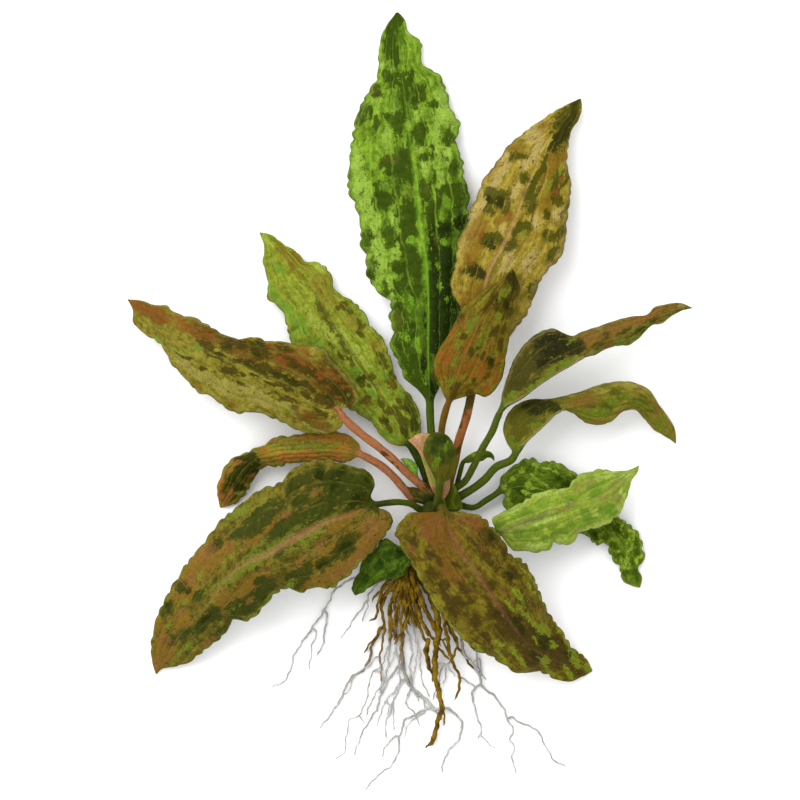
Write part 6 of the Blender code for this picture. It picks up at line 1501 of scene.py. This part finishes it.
marks = dict(
    warm=[(1, 29, 8, 6), (13, 34, 7, 3), (-11, 38, 6, 3)],
    dark=[(0, 59, 8, 9), (-7, 49, 7, 5), (12, 48, 6, 4), (1, 44, 7, 5)],
    black=[(0, 60, 5, 6), (-6, 51, 4, 3)],
    rust=[(15, 30, 6, 2), (-15, 42, 5, 1.5)],
    green=[(-4, 38, 8, 3), (6, 53, 5, 2)],
)
grow_leaf(
    "young_leaf", shape, colours, marks, seed=15, lie=80, midrib=0.5, rim=0.4, mottle=0.4, blotch=0.45,
    soft=2.4,
)

# Brown front leaf
# The short brown leaf in front of the tall and the gold one, orange brown at its base and olive
# towards its dark tip. It is thin and soft, and its brown stalk lifts it a little off the others.
shape = dict(
    stalk_radius=1.05, stations=150, columns=49, cell_length=3.6, ruffle=0.4, ruffle_length=12, nick=0.12,
    stalk=[(0.8, 3.4, 8.6), (0.6, 13.5, 11), (0.4, 20.4, 13.4), (1.8, 27.3, 15.4)],
    rib=[(2.7, 30, 16), (4.2, 34.5, 17.2), (5.8, 40.2, 18.4), (8.7, 46.8, 19.6), (12.6, 54.9, 19.8),
        (16.2, 59.7, 18.8), (18.9, 64.5, 17.2), (21.6, 69.6, 15)],
    left=[(2.1, 29.7), (0.9, 31.8), (0, 34.5), (-1.9, 39), (-1.8, 42), (-0.3, 45.4), (2.4, 49.5), (4.8, 54),
        (6.9, 57.9), (9.9, 60.3), (14.4, 64.2), (18.9, 66.3)],
    right=[(3.3, 29.7), (5.1, 30.3), (7.2, 30.9), (10.5, 31.8), (13.7, 30.9), (15.9, 32.4), (18.3, 36),
        (19.8, 43.5), (21, 50.1), (21.9, 54.9), (23.1, 59.4), (24, 63.6), (23.1, 66.6)],
    left_drop=[0, -1.6, -2.8, -3, -2, -1, 0],
    right_drop=[0, -1.4, -2.8, -3, -2, -1, 0],
)
colours = dict(
    light="#675a13", deep="#503f06", pale="#6a6716", warm="#65470b", rust="#773c0b", dark="#352d01",
    vein="#6f5d1e", midrib="#774c20", rim="#606015", stalk="#4c3808", stalk_light="#63490e",
    under="#6f6032", black="#222001", green="#566013",
)
marks = dict(
    pale=[(66, 144, 14, 2), (61, 177, 8, 4), (13, 161, 14, 2), (42, 200, 10, 3)],
    warm=[(42, 130, 16, 12), (5, 155, 16, 8), (0, 130, 12, 8), (30, 160, 12, 4)],
    dark=[(71, 219, 15, 6), (75, 209, 13, 4), (65, 197, 9, 6), (68, 187, 9, 4), (57, 195, 8, 4),
        (51, 200, 10, 3), (47, 189, 8, 3), (54, 169, 8, 3), (60, 155, 8, 3), (51, 137, 7, 5),
        (41, 143, 5, 4), (23, 164, 4, 4), (38, 155, 5, 3), (32, 148, 6, 3), (47, 124, 4, 3),
        (16, 112, 6, 4), (12, 104, 5, 4), (30, 108, 4, 3), (33, 119, 4, 3), (20, 182, 5, 3),
        (12, 178, 6, 2), (62, 170, 7, 3)],
    black=[(73, 224, 8, 4), (74, 214, 8, 3), (66, 196, 4, 3), (57, 201, 5, 2), (52, 139, 4, 2.5)],
    rust=[(7, 141, 8, 6), (2, 144, 5, 4), (24, 177, 5, 3), (17, 129, 6, 4), (-3, 125, 5, 3),
        (26, 135, 8, 2.5), (36, 138, 5, 3), (46, 109, 7, 3), (58, 140, 10, 3), (50, 155, 5, 3),
        (23, 145, 8, 2), (10, 150, 5, 4), (30, 125, 5, 3), (41, 130, 6, 3), (57, 121, 6, 3), (12, 167, 6, 3)],
    green=[(30, 175, 10, 5), (36, 182, 6, 4), (28, 166, 5, 3), (18, 155, 8, 2.5), (65, 208, 8, 4),
        (61, 203, 6, 3), (46, 164, 10, 2), (39, 159, 8, 3), (54, 147, 5, 3), (58, 184, 5, 4),
        (15, 137, 10, 2), (66, 155, 8, 2), (12, 120, 8, 2)],
)
grow_leaf(
    "brown_front_leaf", shape, colours, marks, seed=16, lie=62, side=0.35, midrib=0.7, rim=0.5, mottle=0.4,
    blotch=0.4,
)

# Small dark leaf
# A small, very dark green leaf low over the roots, under the two big front leaves. It is as thin
# as they are, and its short stalk comes down from the crown.
shape = dict(
    stalk_radius=0.8, stations=80, columns=37, cell_length=3.2, ruffle=0.3, ruffle_length=8, nick=0.5,
    stalk_fade=0.08,
    stalk=[(-5.1, -12.3, 10.9), (-6.6, -13.5, 11.6)],
    rib=[(-8.1, -15, 12.4), (-13.5, -18, 13.4), (-18.6, -21.6, 12.2), (-22.8, -25.5, 9.4), (-25.5, -28.6, 6)],
    left=[(-8.2, -15.9), (-9.3, -20.1), (-11.7, -23.1), (-16.2, -24), (-20.1, -25.5), (-24, -28.1)],
    right=[(-8.7, -14.2), (-12.9, -13.3), (-16.8, -11.4), (-19.2, -13.9), (-22.6, -16.8), (-24.3, -21.3),
        (-26.4, -27)],
    left_drop=[0, -1, -1.2, -1, 0],
    right_drop=[0, -1, -1.4, -1, 0],
)
colours = dict(
    light="#43560b", deep="#304206", pale="#4d6416", dark="#1f3301", vein="#355a0e", midrib="#385a11",
    rim="#425611", stalk="#162d05", stalk_light="#223c09", under="#47562c", black="#152601", green="#45610e",
)
marks = dict(
    pale=[(-76, -91, 7, 2), (-32, -66, 4, 3)],
    dark=[(-52, -56, 6, 5), (-62, -66, 6, 4), (-41, -53, 5, 4), (-48, -72, 6, 4), (-74, -78, 6, 4)],
    black=[(-60, -62, 4, 3), (-42, -50, 3, 3)],
    green=[(-67, -60, 8, 2.5), (-46, -66, 8, 2.5), (-74, -87, 7, 2.5), (-60, -75, 6, 2), (-38, -62, 5, 2)],
)
grow_leaf(
    "small_dark_leaf", shape, colours, marks, seed=17, lie=50, side=0.2, midrib=0.3, rim=0.4, mottle=0.3,
    blotch=0.45,
)

# Front leaf
# The large brown leaf in front, over the roots. It is thin and soft, with a rosy midrib, and it
# arches up from the crown, which hides its short stalk, down to its dark green tip.
shape = dict(
    stalk_radius=1.3, stations=220, columns=61, cell_length=4.2, puff=0.6, ruffle=1.1, ruffle_length=11,
    nick=0.7, midrib_width=0.1,
    stalk=[(-0.3, -6.5, 11.2), (0.1, -3.9, 14), (0.4, -2.4, 16.6), (0.9, -2.4, 19)],
    rib=[(1.2, -4, 20.6), (2.7, -8.4, 22.8), (6.6, -15.9, 25.4), (10.2, -21, 26.4), (15, -27.6, 26.2),
        (20.4, -35.7, 23.4), (27.3, -44.1, 16.6), (36, -48.6, 8), (45.9, -51.3, 0.15)],
    left=[(2.4, -3.3), (7.5, -3.6), (12.3, -4.8), (15.4, -7.8), (19.5, -12.8), (20.7, -15.9), (24.3, -17.7),
        (27.3, -21.6), (29.4, -26.4), (31.8, -32.1), (34.5, -36.6), (36.9, -39.6), (39.6, -44.1),
        (43.5, -47.1)],
    right=[(0, -3.4), (-4.5, -3.6), (-9.3, -3.8), (-12.3, -7), (-13.5, -9.6), (-11.8, -13.2), (-9.3, -17.7),
        (-6, -23.7), (-1.8, -30.9), (1.8, -36), (6.6, -41.4), (10.5, -45), (15, -46.6), (19.5, -49.8),
        (22.5, -51.6), (30.3, -51.6), (34.8, -53.7), (37.8, -54.6), (42.3, -53.2)],
    left_drop=[0, -3, -4.6, -5, -4, -1.6, 0],
)
colours = dict(
    light="#5f550b", deep="#483e06", pale="#716319", warm="#603f0e", rust="#633a1e", dark="#382c06",
    vein="#695e1e", midrib="#6f4332", rim="#697922", stalk="#2d3908", stalk_light="#3c470b",
    under="#6d6039", black="#242301", green="#6a7615",
)
marks = dict(
    pale=[(45, -67, 14, 4), (12, -89, 8, 5), (42, -107, 8, 4), (22, -126, 8, 5), (60, -80, 5, 4),
        (-20, -66, 6, 5), (0, -100, 8, 4), (55, -140, 8, 4), (100, -115, 8, 4)],
    warm=[(-5, -26, 34, 14), (40, -25, 12, 10), (10, -70, 20, 8)],
    dark=[(47, -36, 11, 8), (32, -42, 8, 3), (46, -58, 9, 4), (49, -86, 8, 6), (70, -73, 7, 7),
        (4, -85, 7, 4), (-10, -72, 7, 5), (20, -102, 10, 4), (12, -111, 8, 3), (22, -87, 8, 4),
        (56, -114, 6, 4), (46, -137, 6, 4), (72, -126, 14, 12), (105, -146, 16, 12), (90, -158, 13, 6),
        (130, -156, 12, 8), (65, -50, 6, 4), (80, -101, 6, 5), (-10, -55, 6, 4), (-25, -41, 6, 4),
        (0, -61, 6, 3), (35, -121, 6, 4), (60, -131, 8, 5), (-30, -56, 6, 3), (15, -65, 5, 3),
        (30, -98, 5, 3), (116, -150, 26, 12), (90, -140, 20, 14), (60, -112, 14, 10), (135, -164, 14, 8),
        (10, -100, 14, 6)],
    black=[(72, -120, 8, 6), (104, -140, 9, 6), (95, -155, 7, 4), (130, -152, 7, 5), (50, -34, 5, 4),
        (57, -112, 4, 3), (70, -74, 4, 3), (82, -130, 6, 4)],
    rust=[(34, -22, 7, 6), (-5, -22, 9, 7), (-15, -31, 8, 5), (15, -45, 6, 3), (55, -100, 6, 3),
        (5, -71, 5, 3), (65, -90, 8, 3), (35, -91, 5, 2), (-28, -48, 6, 4), (-10, -41, 5, 3),
        (20, -20, 8, 4), (45, -48, 5, 2), (25, -75, 4, 2), (38, -12, 5, 4)],
    green=[(77, -94, 12, 3.5), (81, -107, 6, 3.5), (97, -127, 11, 4), (113, -145, 5, 3.5),
        (126, -140, 5, 3), (74, -150, 7, 4), (81, -161, 9, 3.5), (137, -162, 8, 5), (127, -172, 9, 3),
        (40, -152, 14, 3), (15, -130, 20, 2), (-15, -86, 30, 1.6), (92, -80, 20, 1.8), (123, -181, 12, 2),
        (105, -160, 5, 4), (60, -143, 6, 3), (120, -130, 4, 3), (96, -140, 5, 2), (150, -168, 6, 8),
        (108, -168, 14, 2.5), (60, -155, 14, 2.5), (132, -152, 10, 3), (88, -118, 14, 3), (105, -128, 8, 5),
        (68, -103, 10, 3), (-10, -98, 28, 1.8), (100, -97, 22, 1.8)],
)
grow_leaf(
    "front_leaf", shape, colours, marks, seed=18, lie=-50, midrib=0.5, rim=0.6, mottle=0.45,
    midrib_end=0.62, blotch=0.7, soft=1.5,
)

# Leafstalk bases
# The flared lower ends of the leafstalks, which turn dark green and clasp one another round the
# crown, with a tuft of pointed old sheaths between them. They close the gap between the leafstalks
# and the rhizome. They are thin, and so mesh alone.
SHEATHS_MEET = np.array([0.3, -0.6, 4.6])
INSIDE_THE_RHIZOME = np.array([row[:3] for row in ROOTSTOCK[:-2]])
SHEATH_SIDES = 24
SHEATH_RINGS = 24
SHEATH_RIDGES = 7
RIDGE_SHARE = 0.06
SHEATH_FLARE = np.array([0.92, 1.06, 1.12, 1.3, 1.4])
OLD_SHEATH_TAPER = np.array([0.12, 0.6, 0.9, 1.0, 1.0])
OLD_SHEATH_ARCH = 0.9
OLD_SHEATH_WARMTH = 0.4
INWARD_SHARE = 0.25
OLD_SHEATHS = [  # x, y and height of the pointed outer end, radius at the crown
    (-11.7, 4.2, 5, 1.1), (-10.8, 2.7, 5.4, 1.1), (-9.9, 1.5, 5, 1.1), (-8.7, 3.9, 6.6, 1.2),
    (-7.8, 2.7, 7.2, 1.3), (-6.9, 5.1, 6.4, 1.1), (-6, 3.3, 7.6, 1.2), (-4.8, 4.8, 7.4, 1.1),
    (-3.9, 3.3, 8.2, 1.2), (-2.4, 3.6, 8.6, 1.1), (3, 4.8, 7.4, 1.1), (4.2, 4.2, 6.8, 1.1),
    (5.4, 3.6, 6.2, 1.1), (6.6, 2.4, 5.4, 1), (5.7, 5.1, 5.6, 0.9), (2.1, 3.3, 8.8, 1.1),
    (-9, 0.6, 5.6, 1.1), (6.9, 0.9, 4.6, 1),
]


def sheath_rings(route, radii, seed):
    """Rings round a smooth curve through the route, with radii shared out evenly along it.

    Each ring is a circle with a few low ridges, a cosine round it, which run along the whole sheath
    and slowly turn about it.
    """
    at = np.linspace(0.0, 1.0, SHEATH_RINGS)
    line = smooth_curve(route, at)
    radius = np.interp(at, np.linspace(0.0, 1.0, len(radii)), radii)
    _, side, over_top = frame_along(line)
    turn = round_angles(SHEATH_SIDES)
    ridged = radius[:, None] * (1 + RIDGE_SHARE * np.cos(SHEATH_RIDGES * turn + 1.5 * at[:, None] + seed))
    around = side[:, None] * np.cos(turn)[:, :, None] + over_top[:, None] * np.sin(turn)[:, :, None]
    return lifted(line[:, None] + ridged[:, :, None] * around, 0.0)


SHEATHED = {  # how far a leaf's sheath reaches up its stalk, and how brown it is there
    "tall_leaf": (2.5, 0), "gold_leaf": (2.5, 0.6), "upper_left_leaf": (3, 0), "left_brown_leaf": (3, 0.9),
    "curled_leaf": (3, 0.9), "lower_left_leaf": (2, 0), "dark_green_leaf": (2, 0),
    "light_green_leaf": (2, 0), "folded_upper_leaf": (2.5, 0), "folded_lower_leaf": (2.5, 0),
    "brown_front_leaf": (2.5, 0.5), "front_leaf": (2, 0.5), "young_leaf": (2, 0),
    "pink_young_leaf": (1.5, 0.2), "small_dark_leaf": (1.5, 0), "sprout_leaf": (1, 0),
    "hooked_leaf": (1.5, 0),
}
sheaths = []
for node, (up_the_stalk, warm) in SHEATHED.items():
    leaf = LEAVES[node]
    start, following = np.array((leaf["stalk"] + leaf["rib"])[:2])
    outer = start + unit(following - start) * up_the_stalk
    nearest = INSIDE_THE_RHIZOME[np.linalg.norm(INSIDE_THE_RHIZOME - start, axis=1).argmin()]
    inside = nearest + INWARD_SHARE * (start - nearest)
    sheaths.append(([outer, start, inside], leaf["stalk_radius"] * SHEATH_FLARE, warm))
for x, y, height, radius in OLD_SHEATHS:
    outer = np.array([x, y, height])
    inside = SHEATHS_MEET + INWARD_SHARE * (outer - SHEATHS_MEET)
    halfway = 0.5 * (outer + inside) + (0.0, 0.0, OLD_SHEATH_ARCH)
    sheaths.append(([outer, halfway, inside], radius * OLD_SHEATH_TAPER, OLD_SHEATH_WARMTH))
skins = []
inward = []
warmth = []
for seed, (route, radii, warm) in enumerate(sheaths):
    rings = sheath_rings(route, radii, seed)
    skins.append(closed_skin(rings))
    inward.append(with_ends(np.linspace(0.0, 1.0, SHEATH_RINGS)[:, None] + np.zeros(SHEATH_SIDES)))
    warmth.append(np.full(SHEATH_RINGS * SHEATH_SIDES + 2, warm))
values = {"inward": np.concatenate(inward), "warmth": np.concatenate(warmth)}
leafstalk_bases = new_piece("leafstalk_bases", skins, values)
BASE_GREENS = ("#1d2806", "#37430e")
BASE_OLIVE = "#3a370e"
BASE_BROWNS = ("#492f0b", "#79431e")
BASE_ROUGHNESS = 0.6
BASE_SHINE = 0.06
BASE_GRAIN_HEIGHT = 0.2
BASE_SPECKLE_PER_M = 1900.0
BASE_CLOUDS_PER_M = 600.0
base_skin, tree, shader, place = new_material("leafstalk base skin")
grain = grained(tree, place, BASE_SPECKLE_PER_M, BASE_CLOUDS_PER_M, 60.0)
clouds = ramp(tree, grain["Clouds"], 0.35, 0.65)
green = over(tree, clouds, linear(BASE_GREENS[0]), linear(BASE_GREENS[1]))
green = over(tree, ramp(tree, grain["Speckle"], 0.45, 0.7), green, linear(BASE_OLIVE))
brown = over(tree, clouds, linear(BASE_BROWNS[0]), linear(BASE_BROWNS[1]))
reach = calc(tree, "MULTIPLY_ADD", grain["Clouds"], 0.6, -0.3)
still_brown = ramp(tree, calc(tree, "ADD", attribute(tree, "inward"), reach), 0.1, 0.6, 1.0, 0.0)
skin = over(tree, calc(tree, "MULTIPLY", still_brown, attribute(tree, "warmth")), green, brown)
lay_skin(tree, shader, skin, BASE_ROUGHNESS, BASE_SHINE, grain["Speckle"], 0.5, BASE_GRAIN_HEIGHT)
dress(leafstalk_bases, base_skin, "crown_sheath")

# Surface
# The plain pale surface that the plant lies on. It isn't part of the plant.
FLOOR_SIZE = 60.0
FLOOR_HEIGHT = -0.0002
square = [(-0.5, -0.5), (0.5, -0.5), (0.5, 0.5), (-0.5, 0.5)]
corners = [(x * FLOOR_SIZE, y * FLOOR_SIZE, FLOOR_HEIGHT) for x, y in square]
floor_mesh = bpy.data.meshes.new("floor")
floor_mesh.from_pydata(corners, [], [(0, 1, 2, 3)])
floor = bpy.data.objects.new("floor", floor_mesh)
bpy.context.scene.collection.objects.link(floor)
floor_paint, tree, shader, place = new_material("pale floor")
PALE = (0.93, 0.93, 0.93, 1.0)
give(tree, shader, {"Base Color": PALE, "Roughness": 0.9, "Specular IOR Level": 0.0})
floor_mesh.materials.append(floor_paint)

# Light and camera
# Even white light from all round, a soft window of light from the upper left for the relief, and a
# camera straight above with a long lens, so that nothing leans in the picture.
SKY_STRENGTH = 1.2
sky = bpy.data.worlds.new("white sky")
sky.use_nodes = True
background = sky.node_tree.nodes["Background"]
give(sky.node_tree, background, {"Color": (1.0, 1.0, 1.0, 1.0), "Strength": SKY_STRENGTH})
bpy.context.scene.world = sky
WINDOW_STRENGTH = 2.45
WINDOW_SPREAD = 60.0
WINDOW_TILT = 48.0
WINDOW_FROM = 135.0
window = bpy.data.lights.new("window", "SUN")
window.energy = WINDOW_STRENGTH
window.angle = math.radians(WINDOW_SPREAD)
window_light = bpy.data.objects.new("window", window)
window_light.rotation_euler = (math.radians(WINDOW_TILT), 0.0, math.radians(WINDOW_FROM + 90))
bpy.context.scene.collection.objects.link(window_light)

CAMERA_ABOVE = 6.0
PICTURE_SIDE = 0.240
PICTURE_MIDDLE = (-0.012, 0.030)
lens = bpy.data.cameras.new("camera")
lens.sensor_width = 36.0
lens.lens = lens.sensor_width * CAMERA_ABOVE / PICTURE_SIDE
lens.clip_end = 200.0
camera = bpy.data.objects.new("camera", lens)
camera.location = (*PICTURE_MIDDLE, CAMERA_ABOVE)
bpy.context.scene.collection.objects.link(camera)
bpy.context.scene.camera = camera
bpy.context.scene.view_settings.view_transform = "Standard"
